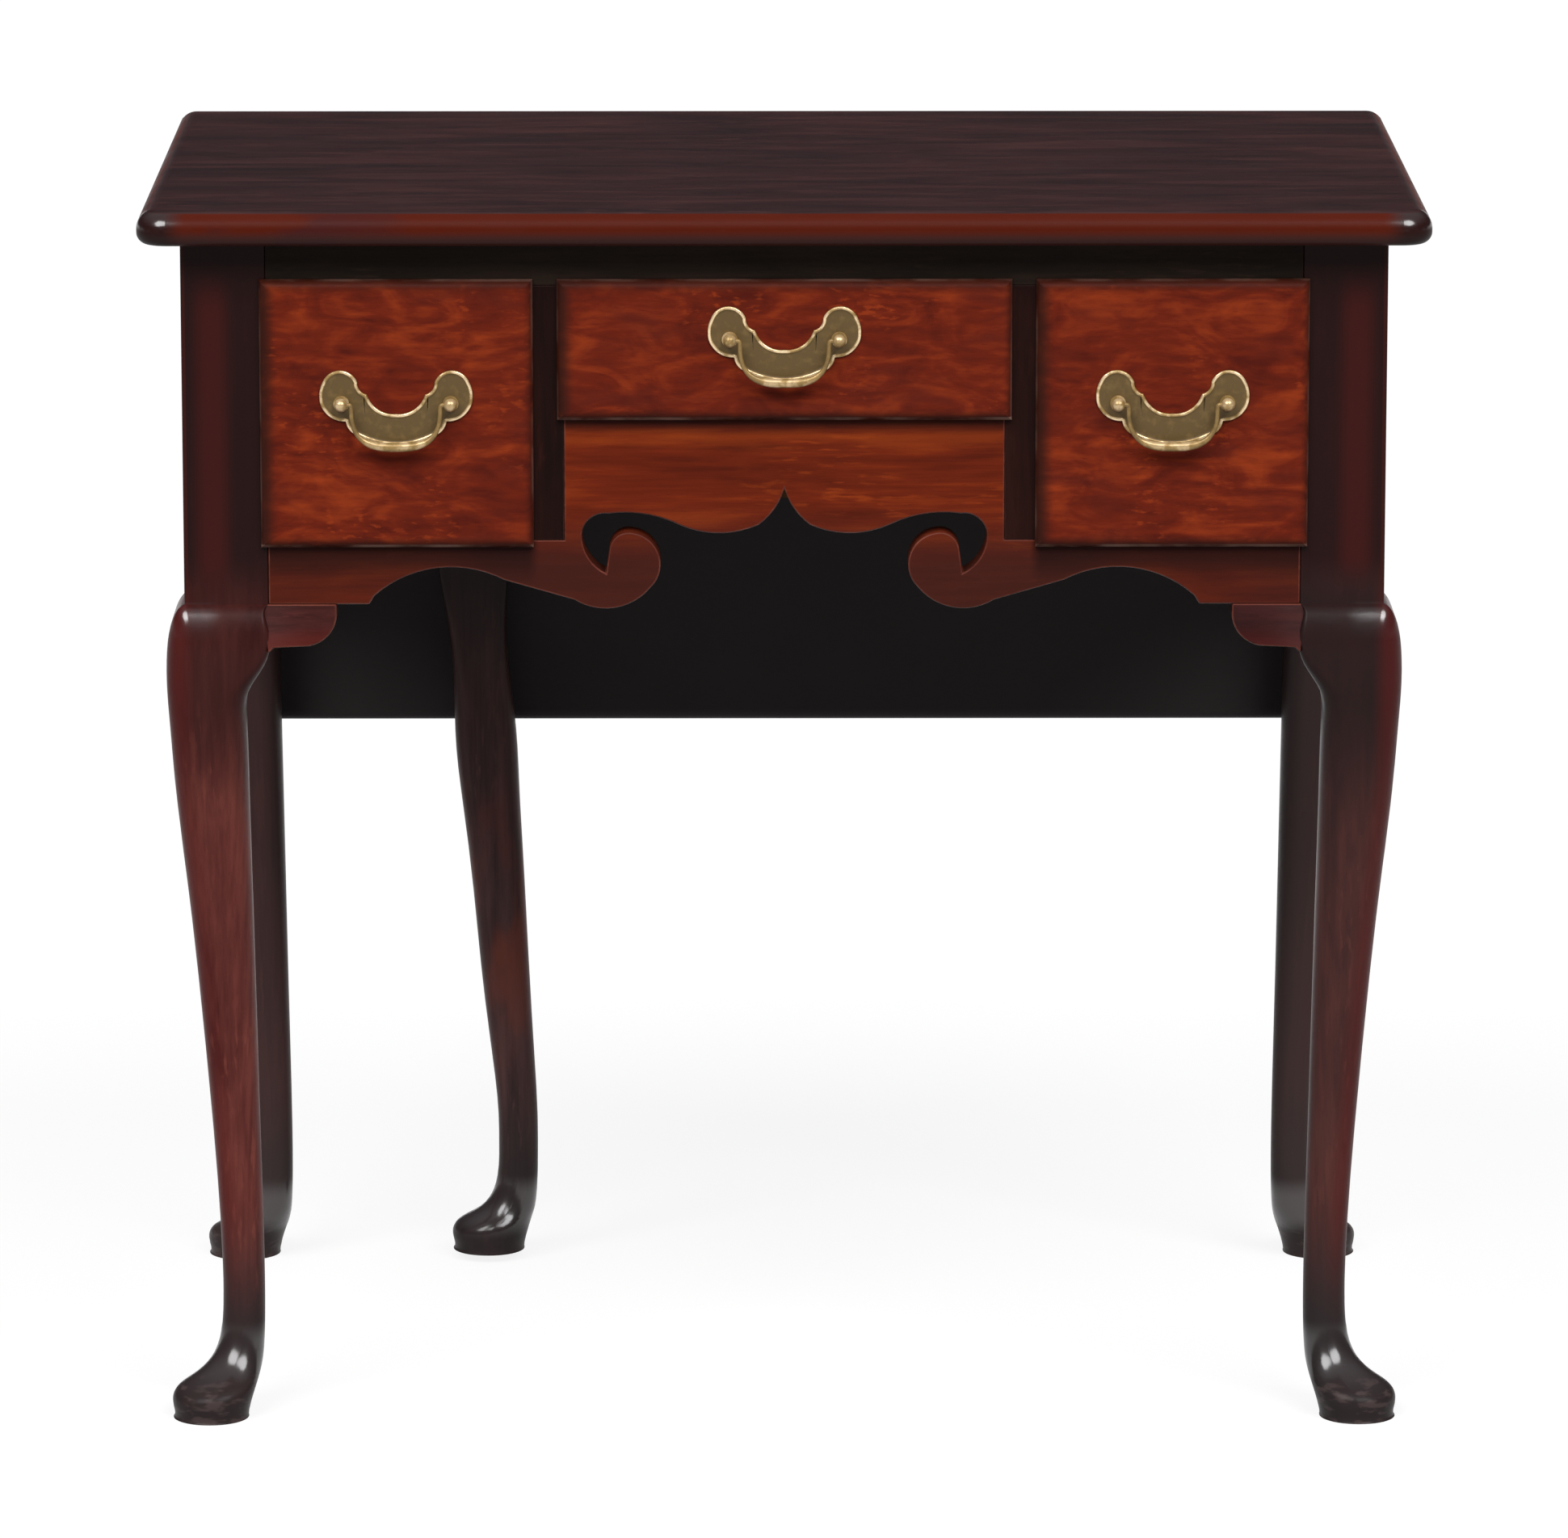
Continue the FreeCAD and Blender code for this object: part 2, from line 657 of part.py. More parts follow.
kickers = [
    box(x - kicker_width / 2, x + kicker_width / 2, case_front + top_rail_depth, back_face,
        opening_top, opening_top + bearer_thickness)
    for x in (-side_drawer_middle, 0, side_drawer_middle)
]
save("drawer_kickers", *kickers)

# Glue blocks in the corner between the top and the panels
blocks = []
block_corner = [(0, 0), (block_size, 0), (0, -block_size)]
for share in (0.25, 0.75):
    block_y = side_start + share * side_length - block_length / 2
    block = board(block_corner, lambda u, v: Vector(panel_inner - u, block_y, underside + v),
                  y_axis * block_length)
    blocks += [block, mirrored(block)]
block_x = side_drawer_middle / 2 - block_length / 2
block = board(block_corner, lambda u, v: Vector(block_x, back_face - u, underside + v), x_axis * block_length)
blocks += [block, mirrored(block)]
save("top_glue_blocks", *blocks)

# Swing leg, its rail and the knuckle joint behind the back panel
gate_front = back_rear + gate_clearance
gate_rail_top = underside - gate_rail_drop
gate_rail_bottom = gate_rail_top - gate_rail_height
barrel_radius = (gate_rail_thickness - gate_clearance) / 2
gate_axis_y = gate_front + barrel_radius
gate_rail_rear = gate_front + 2 * barrel_radius
finger_height = gate_rail_height / knuckle_count
gate_right = gate_left + gate_post_width
gate_middle_x = gate_left + gate_post_width / 2
gate_middle_y = gate_front + gate_post_depth / 2
gate_shoulder = apron_bottom - gate_knee_drop


def gate_upright(radius, low, high):
    """A rod on the axis of the knuckle joint."""
    return rod(radius, Vector(gate_pivot_x, gate_axis_y, low), z_axis, high - low)


fixed_rail = box(gate_pivot_x, inner_half, back_rear, gate_rail_rear, gate_rail_bottom, gate_rail_top)
gate_rail = box(gate_right, gate_pivot_x, gate_front, gate_rail_rear, gate_rail_bottom, gate_rail_top)
for finger in range(knuckle_count):
    low = gate_rail_bottom + finger * finger_height
    high = low + finger_height
    low_room = low - (knuckle_clearance / 2 if finger > 0 else cut_margin)
    high_room = high + (knuckle_clearance / 2 if finger < knuckle_count - 1 else cut_margin)
    room = gate_upright(barrel_radius + gate_clearance, low_room, high_room)
    barrel = gate_upright(barrel_radius, low + knuckle_clearance / 2, high - knuckle_clearance / 2)
    near = barrel_radius + gate_clearance
    if finger % 2 == 0:
        notch = box(gate_pivot_x - near, gate_pivot_x, gate_front, gate_rail_rear, low_room, high_room)
        gate_rail = gate_rail.cut(room).cut(notch)
        neck = box(gate_pivot_x, gate_pivot_x + near, back_rear, gate_rail_rear,
                   low + knuckle_clearance / 2, high - knuckle_clearance / 2)
        fixed_rail = fixed_rail.fuse(barrel.fuse(neck))
    else:
        notch = box(gate_pivot_x, gate_pivot_x + near, back_rear, gate_rail_rear, low_room, high_room)
        fixed_rail = fixed_rail.cut(room).cut(notch)
        gate_rail = gate_rail.fuse(barrel)
pin_hole = gate_upright(gate_pin_radius + hinge_pin_clearance,
                        gate_rail_bottom - cut_margin, gate_rail_top + cut_margin)
gate_tenon = box(gate_right - gate_tenon_length, gate_right,
                 gate_axis_y - tongue_half, gate_axis_y + tongue_half,
                 gate_rail_bottom + tenon_shoulder, gate_rail_top - tenon_shoulder)
save("gate_fixed_rail", fixed_rail.cut(pin_hole).removeSplitter())
save("gate_rail", gate_rail.cut(pin_hole).fuse(gate_tenon).removeSplitter())
save("gate_hinge_pin", gate_upright(gate_pin_radius, gate_rail_bottom, gate_rail_top))


def gate_section(height, outer, inner, roundness):
    """A level section of the swing leg, outer to the left and inner to the right."""
    width = outer + inner
    depth = width if height < ankle_height else min(gate_post_depth, width)
    radius = roundness * min(width, depth)
    return rounded_section(gate_middle_x - outer, gate_middle_x + inner,
                           gate_middle_y - depth / 2, gate_middle_y + depth / 2, height, [radius] * 4)


gate_half = gate_post_width / 2
gate_calf = gate_shoulder - gate_calf_drop
gate_stations = [(gate_shoulder, gate_half, gate_half, square_enough)]
for level, inwards, roundness in ((0.4, 0.15, 0.10), (1.0, 1.0, 0.24)):
    gate_stations.append((gate_shoulder - level * gate_waist_drop,
                          between(gate_half, gate_waist_outer, inwards),
                          between(gate_half, gate_waist_inner, inwards), roundness))
for step in range(shank_steps + 1):
    share = step / shank_steps
    gate_stations.append((between(gate_calf, ankle_height, share),
                          between(gate_calf_outer, gate_ankle_outer, share),
                          between(gate_calf_inner, gate_ankle_inner, share),
                          between(shank_roundness, round_enough, share)))
gate_stations += foot_stations(gate_ankle_outer, gate_ankle_inner, gate_pad_offset, gate_foot_lift)
gate_sections = [gate_section(*station) for station in gate_stations]
gate_leg = Part.makeLoft(gate_sections, True, False)
gate_post_top = underside - gate_top_clearance
gate_post = Part.Face(gate_sections[0]).extrude(z_axis * (gate_post_top - gate_shoulder))
save("gate_leg", gate_leg.fuse(gate_post).removeSplitter().cut(gate_tenon))


# Handle pieces, made about the middle of the two posts with the drawer front at zero depth
plate_half_outline = [
    (0.0, -6.3), ((8.8, -4.6), (15.8, 2.2)), (17.3, 5.4), ((21.2, 7.8), (22.7, 12.6)),
    ((33.3, 19.6), (43.2, 12.4)), ((45.1, 3.6), (42.4, -4.6)), ((36.8, -9.4), (29.7, -10.8)),
    ((27.6, -15.8), (22.7, -19.2)), ((11.4, -23.6), (0.0, -25.0)),
]


def on_drawer(u, v):
    """A place on the drawer front, u to the right of the middle of the handle and v above its posts."""
    return Vector(u, 0, v)


plate_field = plate_thickness - plate_sink
head_y = -plate_field - head_standoff
shank_inner_end = front_back_face - drawer_face + nut_thickness + shank_end


def shank(radius):
    """The shank of the right post, or the hole for it."""
    return rod(radius, Vector(handle_half, -plate_field, 0), y_axis, shank_inner_end + plate_field)


def handle_plate():
    """The pierced back plate, with a raised rim round a sunk field."""
    rim = outline(whole(plate_half_outline), on_drawer)
    plate = Part.Face(rim).extrude(-y_axis * plate_thickness)
    field = Part.Face(rim.makeOffset2D(-plate_rim)).translated(-y_axis * plate_field)
    hole = shank(shank_radius + shank_clearance)
    return plate.cut([field.extrude(-y_axis * plate_thickness), hole, mirrored(hole)])


def handle_post():
    """The right post, turned about its length: a shank, a flange on the plate, a neck and a ball head."""
    flange_front = -plate_field - flange_thickness
    head_start = head_y + math.sqrt(head_radius ** 2 - shank_radius ** 2)
    profile = [
        (0, shank_inner_end), (shank_radius, shank_inner_end), (shank_radius, -plate_field),
        (flange_radius, -plate_field), (flange_radius, flange_front), (shank_radius, flange_front),
        (shank_radius, head_start), ((head_radius, head_y), (0, head_y - head_radius)),
    ]
    face = Part.Face(outline(profile, lambda u, v: Vector(handle_half + u, v, 0)))
    turned = face.revolve(Vector(handle_half, 0, 0), y_axis, 360)
    cross_hole = rod(bail_pin_radius + bail_pin_clearance,
                     Vector(handle_half - 2 * head_radius, head_y, 0), x_axis, 4 * head_radius)
    return turned.cut(cross_hole)


def handle_nut():
    """The square nut on the right shank, inside the drawer."""
    half = nut_size / 2
    inside = front_back_face - drawer_face
    nut = box(handle_half - half, handle_half + half, inside, inside + nut_thickness, -half, half)
    return nut.cut(shank(shank_radius + shank_clearance))


def bail_ring(angle):
    """One round section of the bail, at an angle along the rounded loop below the posts."""
    def place(turn):
        across = math.copysign(abs(math.cos(turn)) ** loop_power, math.cos(turn))
        return Vector(bail_reach * across, head_y, -bail_drop * math.sin(turn) ** loop_power)

    center = place(angle)
    nudge = 0.01
    ahead = place(min(angle + nudge, math.pi)) - place(max(angle - nudge, 0))
    outward = ahead.normalize().cross(y_axis)
    radius = bail_arm_radius + (bail_grip_radius - bail_arm_radius) * math.sin(angle) ** 4
    diagonal = radius * half_turn
    points = [
        (radius, 0), ((diagonal, diagonal), (0, radius)), ((-diagonal, diagonal), (-radius, 0)),
        ((-diagonal, -diagonal), (0, -radius)), ((diagonal, -diagonal), (radius, 0)),
    ]
    return outline(points, lambda u, v: center + outward * u + y_axis * v)


loop_power = 2 / 3
bail_steps = 12


def bail():
    """The swinging loop, thicker where it is gripped, with a pin into each post."""
    rings = [bail_ring(math.pi * step / bail_steps) for step in range(bail_steps + 1)]
    loop = Part.makeLoft(rings, True, False)
    pin_end = handle_half + head_radius - bail_pin_inset
    pieces = []
    for side in (-1, 1):
        elbow = Vector(side * bail_reach, head_y, 0)
        pieces.append(rod(bail_pin_radius, elbow, x_axis * side, pin_end - bail_reach))
        pieces.append(Part.makeSphere(bail_pin_radius, elbow))
    return loop.fuse(pieces).removeSplitter()


plate_model = handle_plate()
post_model = handle_post()
nut_model = handle_nut()
bail_model = bail()


# Drawers
def dovetails(x, start_y, direction, low, high, count, length):
    """Tails on one end of a drawer side, wider at their tips."""
    pitch = (high - low) / count
    root = pitch / 4
    tip = root + tail_flare
    points = [(0, -root), (length, -tip), (length, tip), (0, root)]
    tails = []
    for index in range(count):
        middle = low + (index + 0.5) * pitch
        tails.append(board(points, lambda u, v: Vector(x, start_y + direction * u, middle + v),
                           x_axis * lining_thickness))
    return tails


def make_drawer(name, x0, x1, z0, tail_count):
    """One drawer with its handle, for the opening from x0 to x1 above z0."""
    left = x0 + drawer_side_clearance
    right = x1 - drawer_side_clearance
    low = z0 + drawer_run_clearance
    high = opening_top - drawer_top_clearance
    back_end = back_face - drawer_rear_clearance
    back_start = back_end - lining_thickness
    lip_back = case_front - lip_gap
    bottom_low = low + bottom_rise
    bottom_high = bottom_low + bottom_thickness
    bottom = box(left + lining_thickness - bottom_groove, right - lining_thickness + bottom_groove,
                 front_back_face - bottom_groove, back_end, bottom_low, bottom_high)
    lip = box(x0 - lip_overlap, x1 + lip_overlap, drawer_face, lip_back,
              z0 - lip_overlap, opening_top + lip_overlap)
    lip = lip.makeFillet(lip_round, [edge for edge in lip.Edges if edge.BoundBox.YMax < drawer_face + tiny])
    front = lip.fuse(box(left, right, lip_back, front_back_face, low, high))
    back = box(left, right, back_start, back_end, bottom_high, high)
    for hand, x in (("left", left), ("right", right - lining_thickness)):
        tails = dovetails(x, front_back_face, -1, low, high, tail_count, tail_length)
        tails += dovetails(x, back_start, 1, low, high, tail_count, lining_thickness)
        side = box(x, x + lining_thickness, front_back_face, back_start, low, high)
        front = front.cut(tails)
        back = back.cut(tails)
        save(name + "_side_" + hand, side.fuse(tails).removeSplitter().cut(bottom))
    place = Vector((x0 + x1) / 2, drawer_face, (z0 + opening_top) / 2 + handle_rise)
    hole = shank(shank_radius + shank_clearance)
    holes = [hole.translated(place), mirrored(hole).translated(place)]
    save(name + "_front", front.removeSplitter().cut([bottom] + holes))
    save(name + "_back", back)
    save(name + "_bottom", bottom)
    save(name + "_handle_plate", plate_model.translated(place))
    save(name + "_handle_posts", post_model.translated(place), mirrored(post_model).translated(place))
    save(name + "_handle_nuts", nut_model.translated(place), mirrored(nut_model).translated(place))
    save(name.replace("drawer", "bail"), bail_model.translated(place))
    print(f"{name} bail axis at y {drawer_face + head_y:.3f}, z {place.z:.3f}")


make_drawer("drawer_left", -inner_half, -divider_outer, side_opening_bottom, side_tail_count)
make_drawer("drawer_center", -center_half, center_half, center_opening_bottom, center_tail_count)
make_drawer("drawer_right", divider_outer, inner_half, side_opening_bottom, side_tail_count)
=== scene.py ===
# %% [markdown]
# # A drop-leaf lowboy in old polished mahogany
#
# A lowboy is a small dressing table: three drawers over a scrolled apron, on bandy cabriole legs.
# This one has a leaf that hangs behind the top and a fifth leg that swings out to hold it.
# The construction comes ready made as a frame of solid pieces, so this lesson only adds what the eye
# sees: the polish, the grain, the brasses and the eased edges. No piece of the frame is moved or resized.

# %% Load the frame
import json
import math

import bmesh
import bpy
import numpy as np
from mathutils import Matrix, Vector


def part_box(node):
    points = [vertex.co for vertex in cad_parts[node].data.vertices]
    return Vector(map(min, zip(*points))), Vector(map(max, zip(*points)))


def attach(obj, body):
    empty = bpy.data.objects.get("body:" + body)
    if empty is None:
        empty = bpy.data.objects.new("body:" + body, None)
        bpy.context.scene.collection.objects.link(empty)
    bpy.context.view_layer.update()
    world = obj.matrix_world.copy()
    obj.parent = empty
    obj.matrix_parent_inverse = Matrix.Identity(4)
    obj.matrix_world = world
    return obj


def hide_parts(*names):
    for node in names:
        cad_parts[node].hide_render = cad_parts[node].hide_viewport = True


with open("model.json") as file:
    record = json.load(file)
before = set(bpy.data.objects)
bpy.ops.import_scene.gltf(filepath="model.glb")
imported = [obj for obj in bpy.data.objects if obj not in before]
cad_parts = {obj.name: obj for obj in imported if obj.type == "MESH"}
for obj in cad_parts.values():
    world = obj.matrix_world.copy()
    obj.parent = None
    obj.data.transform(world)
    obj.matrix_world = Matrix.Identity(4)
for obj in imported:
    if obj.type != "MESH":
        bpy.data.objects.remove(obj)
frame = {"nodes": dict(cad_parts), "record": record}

scene = bpy.context.scene
nodes = frame["nodes"]
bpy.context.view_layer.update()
print("pieces in the frame:", len(nodes))

# %% [markdown]
# ## The camera
#
# The photograph looks straight at the front and a little down, through a long lens, which keeps the sides
# nearly parallel. The place and the length of the lens were worked out from the corners of the top, the posts
# and the feet, so that the render can be laid over the photograph.

# %% Camera
photo_width = 1941
focal_pixels = 11619.3
sensor_width = 36.0
pitch_down = 0.203405
yaw_right = 0.00411
camera_place = (-0.02266, -5.6695, 1.5258)

camera = bpy.data.objects.new("camera", bpy.data.cameras.new("camera"))
camera.data.sensor_fit = "HORIZONTAL"
camera.data.sensor_width = sensor_width
camera.data.lens = sensor_width * focal_pixels / photo_width
camera.location = camera_place
camera.rotation_euler = (math.pi / 2 - pitch_down, 0, -yaw_right)
scene.collection.objects.link(camera)
scene.camera = camera
scene.view_settings.view_transform = "Standard"
print(f"lens {camera.data.lens:.1f} mm")

# %% [markdown]
# ## A socket that does sums
#
# A shader is a graph of nodes, and sums written as nodes are hard to read. The class below wraps one
# socket. Adding, taking away and multiplying such sockets makes the Math nodes behind the scenes, and
# one method makes every other node: its settings are set first, then the values or links of its sockets.

# %% Socket class
class Wire:
    """A socket of a node tree, which Python's operators can join to numbers and to other sockets."""

    def __init__(self, tree, socket=None):
        self.tree = tree
        self.socket = socket

    def node(self, kind, settings=None, values=None, out=0):
        """Adds a node, sets it up, feeds its sockets and gives one of its outputs."""
        made = self.tree.nodes.new(kind)
        for name, value in (settings or {}).items():
            if name == "stops":
                set_stops(made.color_ramp, value)
            else:
                setattr(made, name, value)
        for name, value in (values or {}).items():
            if isinstance(value, Wire):
                self.tree.links.new(value.socket, made.inputs[name])
            else:
                made.inputs[name].default_value = value
        return Wire(self.tree, made.outputs[out])

    def math(self, operation, first, second=0.0):
        """A Math node on one value or two."""
        return self.node("ShaderNodeMath", {"operation": operation}, {0: first, 1: second})

    def __add__(self, other):
        return self.math("ADD", self, other)

    def __sub__(self, other):
        return self.math("SUBTRACT", self, other)

    def __rsub__(self, other):
        return self.math("SUBTRACT", other, self)

    def __mul__(self, other):
        return self.math("MULTIPLY", self, other)

    __radd__ = __add__
    __rmul__ = __mul__


def set_stops(ramp, stops):
    """Gives a color ramp its stops, a list of places and colors."""
    while len(ramp.elements) < len(stops):
        ramp.elements.new(0.5)
    for element, (place, color) in zip(ramp.elements, stops):
        element.position = place
        element.color = color


print("operators on sockets are ready")

# %% [markdown]
# ## Patterns and places
#
# A finish is worked out from where a point lies on the piece. `noise` gives cloudy values whose blots
# have a real size in metres, `smooth` turns a range of values into a soft mask, and `near_edges` finds
# the border of a board, where hands and dust have darkened it.

# %% Pattern helpers
def color_of(red, green, blue):
    """A color as a screen shows it, 0 to 255, made linear for the shader."""
    shares = np.array((red, green, blue)) / 255
    linear = np.where(shares <= 0.04045, shares / 12.92, ((shares + 0.055) / 1.055) ** 2.4)
    return (*linear.tolist(), 1.0)


def smooth(value, low, high):
    """A soft step: 0 below low, 1 above high."""
    return value.node("ShaderNodeMapRange", {"interpolation_type": "SMOOTHSTEP"},
                      {"Value": value, "From Min": low, "From Max": high})


def band(value, low, high, fade):
    """A mask that is 1 between low and high, with soft ends."""
    return smooth(value, low - fade, low + fade) - smooth(value, high - fade, high + fade)


def noise(point, sizes, seed, detail=3.0, rough=0.5, bend=0.0):
    """Cloudy values from 0 to 1 whose blots measure sizes, in metres, along x, y and z."""
    per_metre = tuple(1 / size for size in sizes)
    moved = point.node("ShaderNodeVectorMath", {"operation": "MULTIPLY_ADD"},
                       {0: point, 1: per_metre, 2: (seed, 1.7 * seed, 2.3 * seed)})
    return point.node("ShaderNodeTexNoise", values={"Vector": moved, "Scale": 1.0, "Detail": detail,
                                                    "Roughness": rough, "Distortion": bend})


def paint(mask, under, over):
    """One color over another where the mask is 1."""
    return mask.node("ShaderNodeMix", {"data_type": "RGBA"}, {0: mask, 6: under, 7: over}, out=2)


def place_along(point, axis):
    """One coordinate of a point."""
    return point.node("ShaderNodeSeparateXYZ", values={0: point}, out="xyz".index(axis))


def near_edges(point, box, axes, reach):
    """A mask that is 1 at the sides of a box and fades out over reach, in metres."""
    low, high = box
    nearest = None
    for axis in axes:
        number = "xyz".index(axis)
        place = place_along(point, axis)
        side = place.math("MINIMUM", place - low[number], high[number] - place)
        nearest = side if nearest is None else nearest.math("MINIMUM", nearest, side)
    return 1 - smooth(nearest, 0.0, reach)


def new_finish(name):
    """A new material, its main shader and the point on the piece that it is worked out from."""
    material = bpy.data.materials.new(name)
    material.use_nodes = True
    tree = material.node_tree
    point = Wire(tree).node("ShaderNodeTexCoord", out="Object")
    return material, tree.nodes["Principled BSDF"], point


def feed(shader, **wires):
    """Links wires to the shader's sockets; an underscore stands for the space in a socket's name."""
    for name, wire in wires.items():
        wire.tree.links.new(wire.socket, shader.inputs[name.replace("_", " ")])


print("pattern helpers are ready")

# %% [markdown]
# ## Floor
#
# The photograph has a plain white ground with faint shadows under the legs, like a sheet of white paper.
# A sheet that is only lit comes out grey. So the floor is white to the camera through the light path, and
# a small share of it is lit as paper is, so that it still takes those shadows. The polish and the brass show
# the same white, which gives the feet and the rims of the handles their grey sheen.

# %% Floor
floor_reach = 40.0
paper_white = color_of(252, 252, 252)
paper_grey = color_of(150, 150, 152)
white_share = 0.86


def white_rays(point):
    """1 for rays from the camera, from a polished surface or through glass, which see the paper as white."""
    kinds = ("Is Camera Ray", "Is Glossy Ray", "Is Transmission Ray")
    camera, glossy, through = (point.node("ShaderNodeLightPath", out=kind) for kind in kinds)
    return point.math("MINIMUM", camera + glossy + through, 1.0)


corners = [(x, y, 0.0) for x, y in ((-1, -1), (1, -1), (1, 1), (-1, 1))]
floor_mesh = bpy.data.meshes.new("floor")
floor_mesh.from_pydata((np.array(corners) * floor_reach).tolist(), [], [(0, 1, 2, 3)])
floor = bpy.data.objects.new("floor", floor_mesh)
scene.collection.objects.link(floor)

paper, shader, point = new_finish("white_paper")
seen = white_rays(point)
feed(shader, Base_Color=paint(seen, paper_grey, paper_white))
shader.inputs["Roughness"].default_value = 1.0
shader.inputs["Specular IOR Level"].default_value = 0.0
matt = Wire(paper.node_tree, shader.outputs["BSDF"])
white = point.node("ShaderNodeEmission", values={"Color": (1, 1, 1, 1), "Strength": 1.0})
sheet = point.node("ShaderNodeMixShader", values={0: white_share * seen, 1: matt, 2: white})
paper.node_tree.links.new(sheet.socket, paper.node_tree.nodes["Material Output"].inputs["Surface"])
floor_mesh.materials.append(paper)
print("floor reaches", floor_reach, "m")

# %% [markdown]
# ## Room and lamps
#
# The white ovals on the knees, the feet and the corners of the top tell of soft lamps in front, on the left
# and on the right. Lamps that stand near would light the near parts more than the far ones, so two wide sun
# lamps are used. They give such ovals and light the whole piece evenly. The room around is dim, so that the
# polish stays dark. Only its lowest part, just over the horizon, is white like the floor, so that low views
# have a white background too.

# %% Room and lamps
room_low = (0.05, 0.044, 0.05, 1.0)
room_high = (0.42, 0.42, 0.44, 1.0)
room_white = (1.0, 1.0, 1.0, 1.0)
white_fade = (0.02, 0.03)
overhead_fade = (0.25, 1.0)
lamp_strength = 2.2
lamp_width = math.radians(32)
lamp_height = math.radians(44)
lamp_aside = math.radians(32)

room = bpy.data.worlds.new("room")
scene.world = room
room.use_nodes = True
up = Wire(room.node_tree).node("ShaderNodeTexCoord", out="Generated")
overhead = smooth(place_along(up, "z"), *overhead_fade)
low_down = 1 - smooth(place_along(up, "z"), *white_fade)
room_tone = paint(low_down * white_rays(up), paint(overhead, room_low, room_high), room_white)
room.node_tree.links.new(room_tone.socket, room.node_tree.nodes["Background"].inputs["Color"])

for side, name in ((-1, "lamp_left"), (1, "lamp_right")):
    lamp = bpy.data.objects.new(name, bpy.data.lights.new(name, "SUN"))
    lamp.data.energy = lamp_strength
    lamp.data.angle = lamp_width
    lamp.rotation_euler = (math.pi / 2 - lamp_height, 0, side * lamp_aside)
    scene.collection.objects.link(lamp)
print("lamps at", round(math.degrees(lamp_height)), "degrees up")

# %% [markdown]
# ## Mahogany
#
# Mahogany has no bold rings. Its look comes from long streaks along the grain, a cloudy figure across
# the board, short bright flecks where the grain turns, and pores like fine pencil strokes. A picture of
# wood could be wrapped round each piece, but it would show seams. Here each mark is a noise stretched along
# the grain, so the same function can finish a drawer front, a leg or the top.
# The bump is given in metres: pores and a faint unevenness left by a hand plane.
# A clear coat stands for the wax on the polish, where the lamps show as white ovals. It is either the
# same all over or a mask worked out from the place, because old wax is seldom even.

# %% Mahogany
# Length along the grain and width across it of each kind of mark
figure_size = (0.11, 0.020)
streak_size = (0.07, 0.0034)
patch_size = (0.10, 0.05)
fleck_size = (0.020, 0.0032)
pore_size = (0.0050, 0.00035)
plane_mark_size = (0.20, 0.06)
smudge_size = (0.05, 0.05, 0.05)
crotch_shortening = 0.6
crotch_widening = 0.002
plane_mark_height = 0.00010
streak_height = 0.00001
pore_depth = 0.00003
wax_roughness = 0.18
wax_index = 1.8


def grain(along, size, shorter=0.0, wider=0.0):
    """Sizes along x, y and z of a mark, with its length along the grain and its width across it.
    Shorter is the share that its length loses, and wider is what its width gains."""
    length, width = size
    return tuple(length * (1 - shorter) if axis == along else width + wider for axis in "xyz")


def mahogany(name, along, tones, seed, gloss=0.05, rough=(0.3, 0.5), wax=0.0, layers=None, curl=0.0):
    """Mahogany with its grain along one axis, from dark, middle and light tones.
    Layers gives masks and colors to paint over it. Wax is a number or a function that gives a mask.
    Curl, from 0 to 1, shortens the streaks to the blots of wood cut near a crotch."""
    material, shader, point = new_finish(name)
    dark, middle, light = tones
    shorter = crotch_shortening * curl
    figure = noise(point, grain(along, figure_size, shorter), seed, bend=0.6 + curl)
    streak_sizes = grain(along, streak_size, shorter, crotch_widening * curl)
    streak = noise(point, streak_sizes, seed + 3, detail=4.0, rough=0.6)
    patch = smooth(noise(point, grain(along, patch_size, shorter), seed + 4, detail=1.0), 0.46, 0.64)
    fleck = smooth(noise(point, grain(along, fleck_size, shorter), seed + 5), 0.54, 0.70)
    pore = smooth(noise(point, grain(along, pore_size), seed + 7), 0.60, 0.74)
    value = 0.62 * figure + 0.38 * streak
    stops = [(0.34, dark), (0.50, middle), (0.70, light)]
    color = value.node("ShaderNodeValToRGB", {"stops": stops}, {"Fac": value})
    color = paint(0.8 * fleck * patch, color, light)
    color = paint(0.5 * pore, color, dark)
    for mask, over in (layers(point) if layers else ()):
        color = paint(mask, color, over)
    smudge = noise(point, smudge_size, seed + 9)
    plane_mark = noise(point, grain(along, plane_mark_size), seed + 11, detail=1.0)
    height = plane_mark_height * plane_mark + streak_height * streak - pore_depth * pore
    bumped = height.node("ShaderNodeBump", values={"Height": height, "Strength": 1.0, "Distance": 1.0})
    feed(shader, Base_Color=color, Roughness=rough[0] + (rough[1] - rough[0]) * smudge, Normal=bumped)
    shader.inputs["Specular IOR Level"].default_value = gloss
    if callable(wax):
        feed(shader, Coat_Weight=wax(point))
    else:
        shader.inputs["Coat Weight"].default_value = wax
    shader.inputs["Coat Roughness"].default_value = wax_roughness
    shader.inputs["Coat IOR"].default_value = wax_index
    return material


def wear(material, *names):
    """Gives pieces of the frame a finish."""
    for name in names:
        nodes[name].data.materials.clear()
        nodes[name].data.materials.append(material)


print("mahogany is ready")
